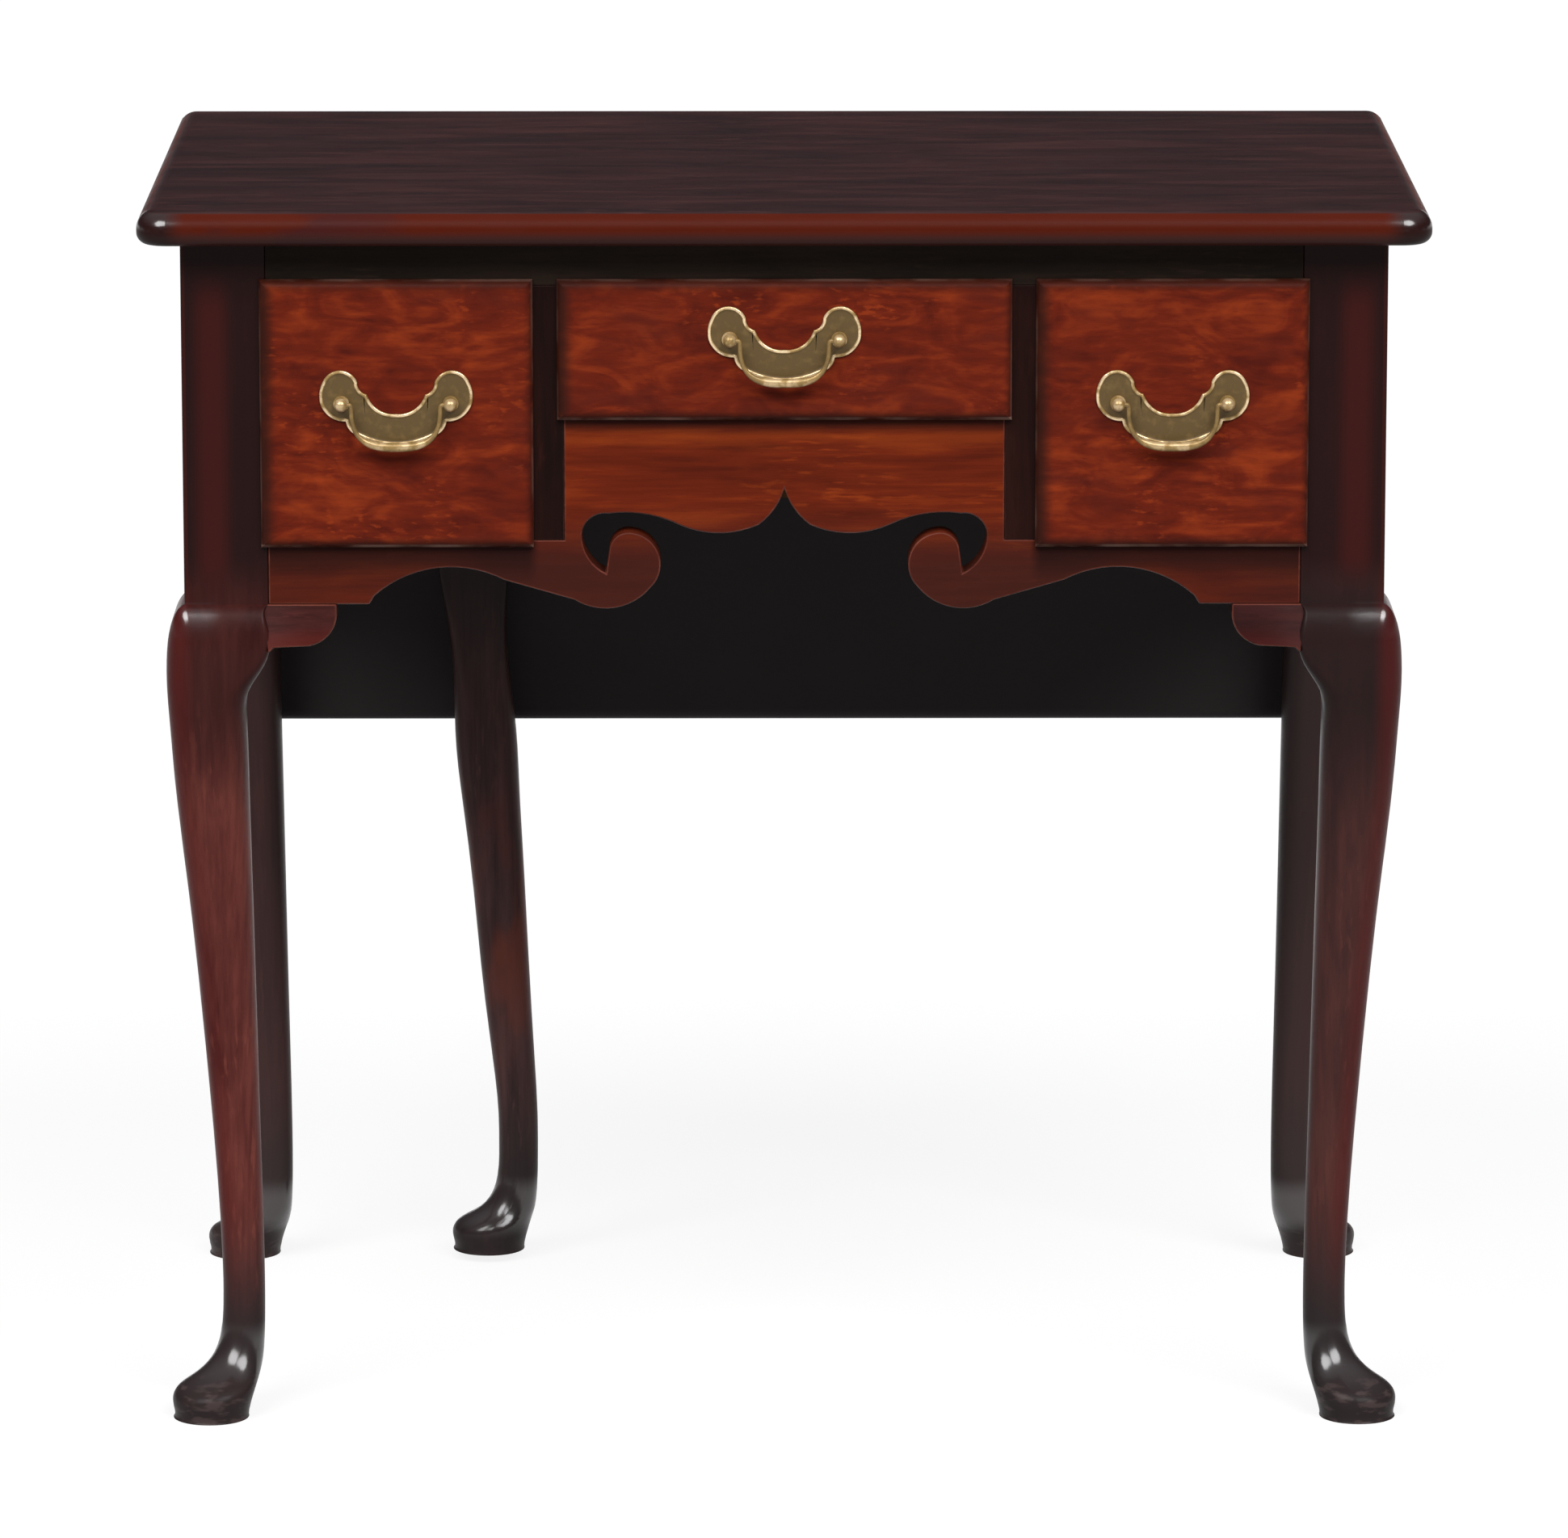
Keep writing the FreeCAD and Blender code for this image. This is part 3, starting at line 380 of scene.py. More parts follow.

# %% [markdown]
# ## Eased edges
#
# A plane leaves a sharp arris, and the first thing a joiner does is take it off with a stroke of
# sandpaper. Polishing cloths then wear it paler, and on bare wood hands make it darker. A bump in the
# finish could only pretend this, because the outline would stay sharp. So pieces with sharp arrises get a
# copy whose edges are bevelled, and the narrow new faces wear a finish of their own. On the apron, the
# brackets and the sides the bevels are paler, partly from wear and partly as a painted highlight. The copies
# stand in for the pieces of the frame and move with them.

# %% Eased edges
bodies = frame["record"]["behaviour"]["bodies"]
body_of = {subpart: body for body, members in bodies.items() for subpart in members}
slot_of = {piece["node"]: piece["material_slot"] for piece in frame["record"]["subparts"]}
merge_reach = 1e-5
flat_angle = math.radians(1)
sharp_angle = math.radians(35)
arris_width = 0.0009
fine_arris_width = 0.0006


def show(obj, node):
    """Links a finished piece that stands for a node of the frame and moves with it."""
    scene.collection.objects.link(obj)
    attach(obj, body_of[node])
    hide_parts(node)


def eased(node, width, finish, arris, sunk=0.0):
    """A copy of a node with its sharp edges bevelled; the bevels wear the finish called arris.
    Sunk moves the upper corners of the two outermost ends outwards, into the pieces beside them."""
    mesh = bpy.data.meshes.new(node + "_eased")
    shape = bmesh.new()
    shape.from_mesh(nodes[node].data)
    bmesh.ops.remove_doubles(shape, verts=shape.verts, dist=merge_reach)
    bmesh.ops.dissolve_limit(shape, angle_limit=flat_angle, verts=shape.verts, edges=shape.edges)
    shape.to_mesh(mesh)
    shape.free()
    points = np.empty(3 * len(mesh.vertices), dtype=np.float32)
    mesh.vertices.foreach_get("co", points)
    across, height = points[::3], points[2::3]
    ends = np.abs(across) > np.abs(across).max() - merge_reach
    share = (height - height.min()) / np.ptp(height)
    points[::3] = np.where(ends, across + sunk * share * np.sign(across), across)
    mesh.vertices.foreach_set("co", points)
    mesh.materials.append(finish)
    mesh.materials.append(arris)
    mesh.polygons.foreach_set("material_index", np.zeros(len(mesh.polygons), dtype=np.int32))
    mesh.shade_smooth()
    mesh.set_sharp_from_angle(angle=sharp_angle)
    obj = bpy.data.objects.new(node + "_eased", mesh)
    bevel = obj.modifiers.new("eased", "BEVEL")
    bevel.width = width
    bevel.segments = 2
    bevel.limit_method = "ANGLE"
    bevel.angle_limit = sharp_angle
    bevel.use_clamp_overlap = False
    bevel.harden_normals = True
    bevel.material = 1
    show(obj, node)
    wear(finish, node)


print("bodies:", len(bodies))

# %% [markdown]
# ## Drawer fronts
#
# The fronts are the showpiece: red-brown boards with orange flecks lying flat, and a darker border
# where the lip turns away, wider on the left than on the right. Each front was cut from another board,
# so each gets its own seed.
# A pale line of painted highlight runs along the foot of each front and along its arrises, and behind the lip
# the wood was never polished. All this could be painted by hand on each front. Distances to the sides of a
# front's own box do it for all three alike.

# %% Drawer fronts
hands = ("left", "center", "right")
lip_thickness = 0.006
border_reach = 0.009
arris_reach = 0.0016
highlight_line = (0.0004, 0.0022, 0.0004)
front_tones = (color_of(78, 24, 15), color_of(102, 33, 17), color_of(140, 53, 23))
cloud_tone = color_of(84, 29, 20)
lip_shade = color_of(44, 22, 16)
lip_highlight = color_of(154, 122, 108)
border_shift = (0.0027, 0.0, 0.0)
bare_red = color_of(128, 74, 48)
bare_blend = 0.001
cloud_size = (0.06, 0.02, 0.02)
highlight_patch_size = (0.03, 0.02, 0.03)

for number, hand in enumerate(hands):
    node = f"drawer_{hand}_front"
    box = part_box(node)
    lip_box = np.array(box) + border_shift
    bare_from = box[0][1] + lip_thickness

    def front_layers(point, box=box, lip_box=lip_box, bare_from=bare_from, number=number):
        """Dark clouds and border, painted highlights on the arrises and along the lower edge, and bare wood
        behind the lip.
        """
        lip = near_edges(point, lip_box, "xz", border_reach)
        arris = near_edges(point, box, "xz", arris_reach)
        cloud = smooth(noise(point, cloud_size, 11.0 + number), 0.52, 0.72)
        inside = smooth(place_along(point, "y"), bare_from, bare_from + bare_blend)
        foot = band(place_along(point, "z") - box[0][2], *highlight_line)
        rubbed = smooth(noise(point, highlight_patch_size, 5.0), 0.35, 0.65)
        # The pale layers on the arrises and along the foot are painted highlights, broken up in patches.
        return [(0.55 * cloud, cloud_tone), (0.85 * lip, lip_shade), (0.3 * arris * rubbed, lip_highlight),
                (0.6 * foot * rubbed, lip_highlight), (inside, bare_red)]

    wear(mahogany(node, "x", front_tones, 3.0 + 7 * number, layers=front_layers, curl=1.0), node)
print("drawer fronts finished")

# %% [markdown]
# ## Legs
#
# Each leg is one stick of mahogany from the top to the floor. The front of the square post has gone nearly
# black under old varnish, and so has the knee below it. The middle of the shank, where cloths rub, shows
# red, more on the left leg than on the right, and the foot is dark from mops and boots, with a scuffed pad.
# The right leg is darker with painted shade, and the legs at the back are duller and dark all over with
# painted shade. Each leg could have a finish of its own, but masks by height, by distance from the middle
# and from front to back let one finish serve all four.

# %% Legs
leg_tones = (color_of(68, 28, 25), color_of(95, 46, 41), color_of(121, 62, 53))
knee_tone = color_of(37, 15, 14)
post_tone = color_of(29, 12, 11)
post_red = color_of(65, 21, 18)
side_red = color_of(56, 22, 17)
# Painted shade for the right leg and, next, for its knee.
right_painted_shade = color_of(42, 35, 34)
right_knee_painted_shade = color_of(24, 12, 12)
rubbed_red = color_of(86, 26, 23)
foot_tone = color_of(38, 35, 35)
scuff_tone = color_of(92, 76, 75)
# Painted shade for the legs at the back.
rear_painted_shade = color_of(56, 46, 45)
foot_fade = (0.045, 0.14)
knee_fade = (0.34, 0.45)
post_fade = (0.495, 0.53)
half_fade = (0.0, 0.05)
post_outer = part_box("side_panel_right")[1][0]
outer_band = (post_outer - 0.024, post_outer - 0.007, 0.006)
outer_face = (post_outer - 0.0008, post_outer - 0.0002)
knee_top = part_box("apron")[0][2]
red_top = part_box("apron")[1][2] + 0.09
red_fade = (red_top - 0.03, red_top)
pad_top = 0.022
pad_fade = (pad_top - 0.004, pad_top + 0.006)
scuff_size = (0.012, 0.012, 0.004)
ankle_height = 0.09
shank_length = 0.3045
ankle_edge = 0.3387
shank_lean = 0.024
shank_power = 1.33
rubbed_reach = (0.002, 0.016)


def right_half(point):
    """A mask of what lies to the right of the middle."""
    return smooth(place_along(point, "x"), *half_fade)


def leg_layers(point):
    """Dark knee, post and foot, a redder outer side, painted shade on the right leg and its knee, and painted
    shade on the rear legs.
    The rubbed red follows the outer edge of the shank, ankle_edge + shank_lean * s^shank_power, where s
    goes from 0 at the ankle to 1 at the top of the shank."""
    height = place_along(point, "z")
    across = point.math("ABSOLUTE", place_along(point, "x"))
    foot = 1 - smooth(height, *foot_fade)
    knee = smooth(height, *knee_fade)
    post = smooth(height, *post_fade)
    red = band(across, *outer_band) * (1 - smooth(height, *red_fade))
    side = smooth(across, *outer_face)
    rear = smooth(place_along(point, "y"), *half_fade)
    right = right_half(point)
    up_shank = point.node("ShaderNodeMapRange", values={"Value": height, "From Min": ankle_height,
                                                        "From Max": ankle_height + shank_length})
    edge = ankle_edge + shank_lean * point.math("POWER", up_shank, shank_power)
    rubbed = 1 - smooth(edge - across, *rubbed_reach)
    pad = 1 - smooth(height, *pad_fade)
    scuffed = pad * smooth(noise(point, scuff_size, 23.0), 0.50, 0.66)
    # The right leg and knee and the legs at the back are darkened with painted shade.
    return [(0.8 * knee, knee_tone), (0.88 * post, post_tone), (0.65 * post * red, post_red),
            (0.62 * right * (1 - post), right_painted_shade), (0.5 * right * knee * (1 - post), right_knee_painted_shade),
            (0.6 * rubbed * (1 - post), rubbed_red), (0.94 * foot, foot_tone), (0.8 * rear, rear_painted_shade),
            (0.35 * scuffed, scuff_tone), (0.7 * post * side, side_red)]


print(f"posts reach {post_outer:.3f} m from the middle, knees {knee_top:.3f} m from the floor")

# %% [markdown]
# ## Wax on the legs
#
# Wax lies thick on the instep and on the outer corner of the knee, where each lamp shows as a white oval, and
# thin everywhere else. Wax all over would be simpler, but then the upright faces would show the white floor
# as a grey haze. So the wax is a mask too.

# %% Wax on the legs
thin_wax = 0.015
foot_wax = 0.65
knee_wax = 0.95
instep_rise = (pad_top - 0.006, pad_top + 0.008)
instep_fade = (0.042, 0.057)
corner_band = (post_outer - 0.016, post_outer + 0.006, 0.006)
knee_band = (knee_top - 0.013, knee_top, 0.005)


def leg_wax(point):
    """Wax on the instep and on the outer corner of the knee."""
    height = place_along(point, "z")
    across = point.math("ABSOLUTE", place_along(point, "x"))
    instep = smooth(height, *instep_rise) - smooth(height, *instep_fade)
    return thin_wax + foot_wax * instep + knee_wax * band(across, *corner_band) * band(height, *knee_band)


leg_finish = mahogany("leg_mahogany", "z", leg_tones, 31.0, gloss=0.07, rough=(0.3, 0.45),
                      wax=leg_wax, layers=leg_layers)
wear(leg_finish, "front_leg_left", "front_leg_right", "rear_leg_left", "rear_leg_right")
print("corner legs finished")

# %% [markdown]
# ## Swing leg
#
# The swing leg stands under the case while the leaf hangs. It is a duller brown than the corner legs, with
# red showing through half way up and shade at the top. Its foot is dark like theirs and has the same wax.
# Its tones are too far from theirs for one more mask, so it has a finish of its own.

# %% Swing leg
gate_tones = (color_of(52, 36, 35), color_of(72, 50, 49), color_of(90, 63, 60))
gate_red = color_of(108, 56, 45)
gate_shade = color_of(34, 29, 28)
gate_rubbed_band = (0.15, 0.28, 0.06)
gate_shade_fade = (0.36, 0.46)
gate_patch_size = (0.03, 0.03, 0.08)


def gate_layers(point):
    """Red patches half way up, a dark upper end and a dark foot."""
    height = place_along(point, "z")
    rubbed = band(height, *gate_rubbed_band)
    shaded = smooth(height, *gate_shade_fade)
    foot = 1 - smooth(height, *foot_fade)
    patchy = smooth(noise(point, gate_patch_size, 19.0), 0.40, 0.58)
    return [(0.8 * rubbed * patchy, gate_red), (0.8 * shaded, gate_shade), (0.8 * foot, foot_tone)]


gate_finish = mahogany("gate_mahogany", "z", gate_tones, 37.0, gloss=0.07, wax=leg_wax, layers=gate_layers)
wear(gate_finish, "gate_leg")
print("swing leg finished")

# %% [markdown]
# ## Apron
#
# The apron is the board with the scrolled lower edge. Its middle, between the drawer dividers, is as red
# as the drawers, with a brighter strip near its top. Towards the posts and on the tips of the scrolls it is
# darker, and a painted shadow lies under the lips of the drawers. Most of these masks are measured from the
# top of the apron and from a drawer, so that they stay with those pieces.

# %% Apron
apron_tones = (color_of(78, 25, 12), color_of(102, 34, 15), color_of(136, 54, 20))
apron_bright = color_of(138, 58, 20)
apron_shade = color_of(58, 27, 22)
apron_painted_shadow = color_of(34, 16, 14)
apron_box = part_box("apron")
apron_top = apron_box[1][2]
side_drawer_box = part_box("drawer_right_front")
lip_side, lip_foot = side_drawer_box[0][0], side_drawer_box[0][2]
strip_band = (apron_top - 0.020, apron_top - 0.008, 0.006)
strip_patch_size = (0.06, 0.02, 0.006)
tip_fade = (apron_top - 0.095, apron_top - 0.05)
scroll_outer = (0.16, 0.22)
end_fade = (0.25, 0.30)
under_side_fade = (lip_side - 0.004, lip_side + 0.004)
side_shadow_fade = (lip_foot - 0.026, lip_foot - 0.006)
middle_shadow_fade = (apron_top - 0.015, apron_top - 0.005)
arris_highlight_tones = (color_of(74, 32, 24), color_of(94, 44, 33), color_of(118, 66, 52))
dark_arris_tones = (color_of(32, 19, 17), color_of(42, 25, 22), color_of(56, 36, 32))


def apron_layers(point):
    """A bright strip, darker tips and ends, and painted shadow under the drawers."""
    height = place_along(point, "z")
    across = point.math("ABSOLUTE", place_along(point, "x"))
    strip = band(height, *strip_band)
    broken = smooth(noise(point, strip_patch_size, 7.0), 0.4, 0.6)
    tip = (1 - smooth(height, *tip_fade)) * (1 - 0.5 * smooth(across, *scroll_outer))
    end = smooth(across, *end_fade)
    under_side = smooth(across, *under_side_fade)
    # The next two masks paint the shadow that the lips of the side and middle drawers cast on the apron.
    side_painted_shadow = under_side * smooth(height, *side_shadow_fade)
    middle_painted_shadow = (1 - under_side) * smooth(height, *middle_shadow_fade)
    return [(0.42 * strip * broken, apron_bright), (0.9 * tip, apron_shade),
            ((0.2 + 0.25 * right_half(point)) * end, apron_shade), (0.85 * side_painted_shadow, apron_painted_shadow),
            (0.8 * middle_painted_shadow, apron_painted_shadow)]


# The paler bevel finish is partly worn polish and partly a painted highlight on the arrises.
arris = mahogany("worn_and_highlit_arris", "x", arris_highlight_tones, 83.0, gloss=0.1)
dark_arris = mahogany("dark_arris", "x", dark_arris_tones, 89.0)
apron_finish = mahogany("apron_mahogany", "x", apron_tones, 53.0, layers=apron_layers)
eased("apron", arris_width, apron_finish, arris)
print("apron finished")

# %% [markdown]
# ## Brackets
#
# Small brackets beside the knees carry the curve of the apron into the legs. They are as dark as the knees,
# and the front ones show a painted red highlight along the lower edge, with painted shade on the right one.
# The knees are rounded, which would leave a groove. To fill it with one more piece would add what the real
# object lacks, so the upper corners of the front brackets reach a little way into the knees instead.

# %% Brackets
bracket_tones = (color_of(42, 20, 19), color_of(58, 28, 26), color_of(76, 37, 34))
bracket_highlight = color_of(94, 28, 21)
bracket_shade = color_of(34, 19, 21)
knee_round = 0.003
bracket_highlight_fade = (knee_top - 0.020, knee_top - 0.008)


def bracket_layers(point):
    """A painted red highlight along the lower edge, and painted shade on the bracket on the right."""
    # The red along the lower edge is a painted highlight, and the darker right bracket is painted shade.
    rubbed = 1 - smooth(place_along(point, "z"), *bracket_highlight_fade)
    return [(0.45 * rubbed, bracket_highlight), (0.45 * right_half(point), bracket_shade)]


bracket_finish = mahogany("bracket_mahogany", "x", bracket_tones, 97.0, layers=bracket_layers)
eased("knee_brackets_front", arris_width, bracket_finish, arris, sunk=knee_round)
side_bracket_finish = mahogany("side_bracket_mahogany", "y", bracket_tones, 101.0)
eased("knee_brackets_side", arris_width, side_bracket_finish, arris)
print("brackets finished")

# %% [markdown]
# ## Case
#
# The rail over the drawers and the dividers between them are almost black with painted shade, as the rail
# lies under the overhang of the top and the dividers sit back between the lips of the drawers. The sides are
# single boards, red again where light and cloths reached them, darker along the posts and with painted shade
# under the top. The two rails of the swing leg have its brown, without the polish. These boards differ in
# tone and in the run of their grain, so each is one more call of the function for mahogany.

# %% Case
rail_shade_tones = (color_of(24, 19, 15), color_of(34, 26, 20), color_of(46, 34, 27))
divider_shade_tones = (color_of(22, 10, 8), color_of(30, 13, 10), color_of(42, 19, 15))
side_tones = (color_of(58, 20, 15), color_of(78, 28, 20), color_of(104, 40, 26))
side_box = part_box("side_panel_right")
beside_post = 0.05
shade_under_top_fade = (side_box[1][2] - 0.03, side_box[1][2])


def side_layers(point):
    """Darker along the posts, and painted shade under the top."""
    post = near_edges(point, side_box, "y", beside_post)
    # Painted shade under the overhang of the top.
    shade_under_top = smooth(place_along(point, "z"), *shade_under_top_fade)
    return [(0.5 * post, post_tone), (0.6 * shade_under_top, post_tone)]


# The rail and the dividers get almost black tones that paint the shade of the overhang and of the gaps
# between the lips.
rail_finish = mahogany("rail_mahogany", "x", rail_shade_tones, 43.0)
eased("front_top_rail", fine_arris_width, rail_finish, dark_arris)
upright_finish = mahogany("upright_mahogany", "z", divider_shade_tones, 41.0)
for hand in ("left", "right"):
    eased("drawer_divider_" + hand, fine_arris_width, upright_finish, dark_arris)
side_finish = mahogany("side_mahogany", "y", side_tones, 47.0, wax=0.1, layers=side_layers)
for hand in ("left", "right"):
    eased("side_panel_" + hand, arris_width, side_finish, arris)
gate_rail_finish = mahogany("gate_rail_mahogany", "x", gate_tones, 103.0, rough=(0.5, 0.7))
wear(gate_rail_finish, "gate_rail", "gate_fixed_rail")
print("case finished")

# %% [markdown]
# ## Top and leaf
#
# The top has a cool grey bloom over dark brown, as old polish has where it catches the sky. Its moulded
# edge was rubbed red. The leaf hangs with its polished face to the back. Its other face, the one
# under the table when the leaf is up, is dark and bare. Each face could have a material of its own, but the
# pieces of the frame are loose triangles with no named faces. So masks by height and depth tell flat, edge
# and bare face apart.

# %% Top and leaf
top_tones = (color_of(30, 15, 15), color_of(46, 23, 23), color_of(70, 38, 35))
leaf_tones = (color_of(40, 19, 18), color_of(56, 27, 25), color_of(74, 38, 34))
edge_red = color_of(78, 22, 6)
edge_shade = color_of(50, 20, 16)
edge_purple = color_of(54, 24, 25)
corner_dark = color_of(24, 11, 10)
edge_floor_reflection = color_of(72, 62, 60)
top_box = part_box("top_board")
leaf_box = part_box("leaf_board")
bare_dark = color_of(54, 50, 50)
edge_depth = 0.0006
edge_middle = top_box[1][2] - 0.012
edge_low_fade = (edge_middle - 0.003, edge_middle + 0.002)
edge_high_fade = (edge_middle + 0.0005, edge_middle + 0.0035)
corner_reach = 0.030
purple_fade = (top_box[0][0] + 0.05, top_box[0][0] + 0.25)
purple_size = (0.06, 0.03, 0.03)
floor_reflection_fade = (top_box[0][2] + 0.003, top_box[0][2] + 0.009)
flat_wax = 0.3
edge_wax = 0.04
corner_wax = 0.75
bare_face_fade = (0.003, 0.007)


def top_edge(point):
    """A mask of the moulded edge: all that lies below the flat of the top."""
    return 1 - smooth(place_along(point, "z"), top_box[1][2] - 2 * edge_depth, top_box[1][2] - edge_depth)


def top_corner(point):
    """A mask of the two front corners of the top."""
    to_front = place_along(point, "y") - top_box[0][1]
    to_end = top_box[1][0] - point.math("ABSOLUTE", place_along(point, "x"))
    front = 1 - smooth(to_front, 0.5 * corner_reach, corner_reach)
    return front * (1 - smooth(to_end, 0.5 * corner_reach, corner_reach))


def top_layers(point):
    """A red edge, purple in patches on the left, a darker lower half, dark corners and a painted reflection
    of the floor on the arris below.
    """
    edge = top_edge(point)
    height = place_along(point, "z")
    low = 1 - smooth(height, *edge_low_fade)
    left = 1 - smooth(place_along(point, "x"), *purple_fade)
    patch = smooth(noise(point, purple_size, 17.0), 0.42, 0.60)
    # A painted grey reflection of the white floor on the lower arris of the edge.
    foot = 1 - smooth(height, *floor_reflection_fade)
    return [(0.9 * edge, edge_red), (0.8 * edge * left * patch, edge_purple), (0.7 * low, edge_shade),
            (0.85 * edge * top_corner(point), corner_dark), (0.18 * foot, edge_floor_reflection)]


def top_wax(point):
    """Wax on the flat, little on the edge, and most on the upper half of the front corners."""
    edge = top_edge(point)
    high = smooth(place_along(point, "z"), *edge_high_fade)
    return flat_wax - (flat_wax - edge_wax) * edge + corner_wax * edge * high * top_corner(point)


def leaf_layers(point):
    """The bare face, which is the front one while the leaf hangs."""
    return [(1 - smooth(place_along(point, "y") - leaf_box[0][1], *bare_face_fade), bare_dark)]


top_finish = mahogany("top_mahogany", "x", top_tones, 59.0, wax=top_wax, layers=top_layers)
wear(top_finish, "top_board")
leaf_finish = mahogany("leaf_mahogany", "x", leaf_tones, 61.0, layers=leaf_layers)
wear(leaf_finish, "leaf_board")
print("top and leaf finished")

# %% [markdown]
# ## Linings
#
# The photograph does not show the inside. In such furniture the drawer sides, bottoms and all that is inside
# the case are usually of a plain secondary wood, oak or pine, left bare, which turns brown with age. Its
# marks are of the same kind as those of mahogany, so the same function makes it, in paler tones, dull and
# unwaxed.

# %% Linings
lining_tones = (color_of(112, 78, 46), color_of(142, 104, 64), color_of(164, 126, 82))
inner_tones = (color_of(70, 48, 30), color_of(92, 65, 41), color_of(112, 82, 53))


def lining_nodes(hand):
    """The plain boards of one drawer."""
    return [f"drawer_{hand}_{piece}" for piece in ("side_left", "side_right", "back", "bottom")]


lining = mahogany("lining_wood", "y", lining_tones, 67.0, gloss=0.06, rough=(0.6, 0.8))
lining_cross = mahogany("lining_wood_across", "x", lining_tones, 71.0, gloss=0.06, rough=(0.6, 0.8))
inner_wood = mahogany("inner_wood", "y", inner_tones, 73.0, gloss=0.04, rough=(0.7, 0.9))
back_wood = mahogany("back_wood", "x", inner_tones, 79.0, gloss=0.04, rough=(0.7, 0.9))
lining_arris = mahogany("lining_arris", "y", inner_tones, 107.0, gloss=0.06)
for hand in hands:
    sides = lining_nodes(hand)
    for node in sides[:3]:
        eased(node, fine_arris_width, lining if "side" in node else lining_cross, lining_arris)
    wear(lining_cross, sides[3])
wear(inner_wood, "drawer_partition_left", "drawer_partition_right", "side_drawer_bearers",
     "center_drawer_bearers", "drawer_guides", "drawer_kickers", "top_glue_blocks")
wear(back_wood, "back_panel")
print("linings finished")

# %% [markdown]
# ## Brass
#
# The handles are cast brass with a brown-green bloom in the hollows. Where fingers and polish reach, on
# the rims, the balls and the grip, the brass is pale and bright. Masks by place would need the outline of
# the plate again, so each plate and bail carries a value called `rubbed` instead, from 0 in the hollows to 1
# on the rims, and the finish follows it. The posts are bright all over. The bloom in the hollows is tarnish,
# which hides the metal, so the finish is less metallic there.

# %% Brass
tarnish_size = (0.005, 0.005, 0.005)
speck_size = (0.0012, 0.0012, 0.0012)
polish_size = (0.008, 0.008, 0.008)
brass_tones = [(0.0, color_of(90, 69, 31)), (0.5, color_of(158, 128, 76)), (1.0, color_of(250, 222, 178))]
speck_tone = color_of(76, 62, 38)


def brass(name, rubbed_at_least):
    """Aged brass whose color and shine follow the piece's own value rubbed."""
    material, shader, point = new_finish(name)
    rubbed = point.node("ShaderNodeAttribute", {"attribute_name": "rubbed"}, out="Fac")
    cloud = noise(point, tarnish_size, 71.0)
    speck = smooth(noise(point, speck_size, 75.0), 0.55, 0.75)
    polished = 0.5 + 0.5 * smooth(noise(point, polish_size, 77.0), 0.36, 0.60)
    bright = polished * point.math("MAXIMUM", rubbed, rubbed_at_least) + 0.45 * (cloud - 0.5)
    color = bright.node("ShaderNodeValToRGB", {"stops": brass_tones}, {"Fac": bright})
    color = paint(0.35 * speck, color, speck_tone)
    feed(shader, Base_Color=color, Roughness=0.5 - 0.25 * bright + 0.1 * speck, Metallic=0.1 + 0.5 * bright)
    return material


brass_finish = brass("aged_brass", 0.0)
bright_brass = brass("bright_brass", 0.7)
for hand in hands:
    wear(bright_brass, f"drawer_{hand}_handle_posts")
print("brass finished")

# %% [markdown]
# ## Surfaces from formulas
#
# A cast handle is easier to write as a formula than to carve. A surface is a grid of points, one row for
# each step along the piece and one column for each step round it. `grid_faces` joins neighbours into
# four-sided faces, and `surface` makes the piece and its values for the finish.

# %% Surfaces
def grid_faces(rows, columns):
    """Faces of a grid of points whose last column joins the first."""
    row = np.arange(rows - 1)[:, None] * columns
    here = np.arange(columns)[None, :]
    beside = (here + 1) % columns
    around = (row + here, row + beside, row + columns + beside, row + columns + here)
    return np.stack(around, axis=-1).reshape(-1, 4)


def surface(name, points, rubbed, finish):
    """A smooth piece from a grid of points, with one value of rubbed for each point."""
    rows, columns = points.shape[:2]
    mesh = bpy.data.meshes.new(name)
    mesh.from_pydata(points.reshape(-1, 3).tolist(), [], grid_faces(rows, columns).tolist())
    values = mesh.attributes.new("rubbed", "FLOAT", "POINT").data
    values.foreach_set("value", rubbed.reshape(-1).astype(np.float32))
    shape = bmesh.new()
    shape.from_mesh(mesh)
    bmesh.ops.remove_doubles(shape, verts=shape.verts, dist=merge_reach)
    bmesh.ops.recalc_face_normals(shape, faces=shape.faces)
    shape.to_mesh(mesh)
    shape.free()
    mesh.shade_smooth()
    mesh.materials.append(finish)
    return bpy.data.objects.new(name, mesh)


print("surfaces are ready")

# %% [markdown]
# ## Outline of a handle plate
#
# The plate has the shape of a bat's wings: two round lobes for the posts, joined by a low bridge. One
# half of its edge is drawn as arcs from the middle to the tip of a lobe, once along the upper side and
# once along the lower, in millimetres. The other half is its mirror image.

# %% Outline of a handle plate
mm = 0.001
upper_edge = [((0.0, -6.3), (8.8, -4.6), (15.8, 2.2)), ((15.8, 2.2), (16.6, 3.8), (17.3, 5.4)),
              ((17.3, 5.4), (21.2, 7.8), (22.7, 12.6)), ((22.7, 12.6), (33.3, 19.6), (43.2, 12.4)),
              ((43.2, 12.4), (44.8, 8.1), (45.1, 3.6))]
lower_edge = [((0.0, -25.0), (11.4, -23.6), (22.7, -19.2)), ((22.7, -19.2), (27.6, -15.8), (29.7, -10.8)),
              ((29.7, -10.8), (36.8, -9.4), (42.4, -4.6)), ((42.4, -4.6), (44.5, -0.7), (45.1, 3.6))]
rib_count = 140


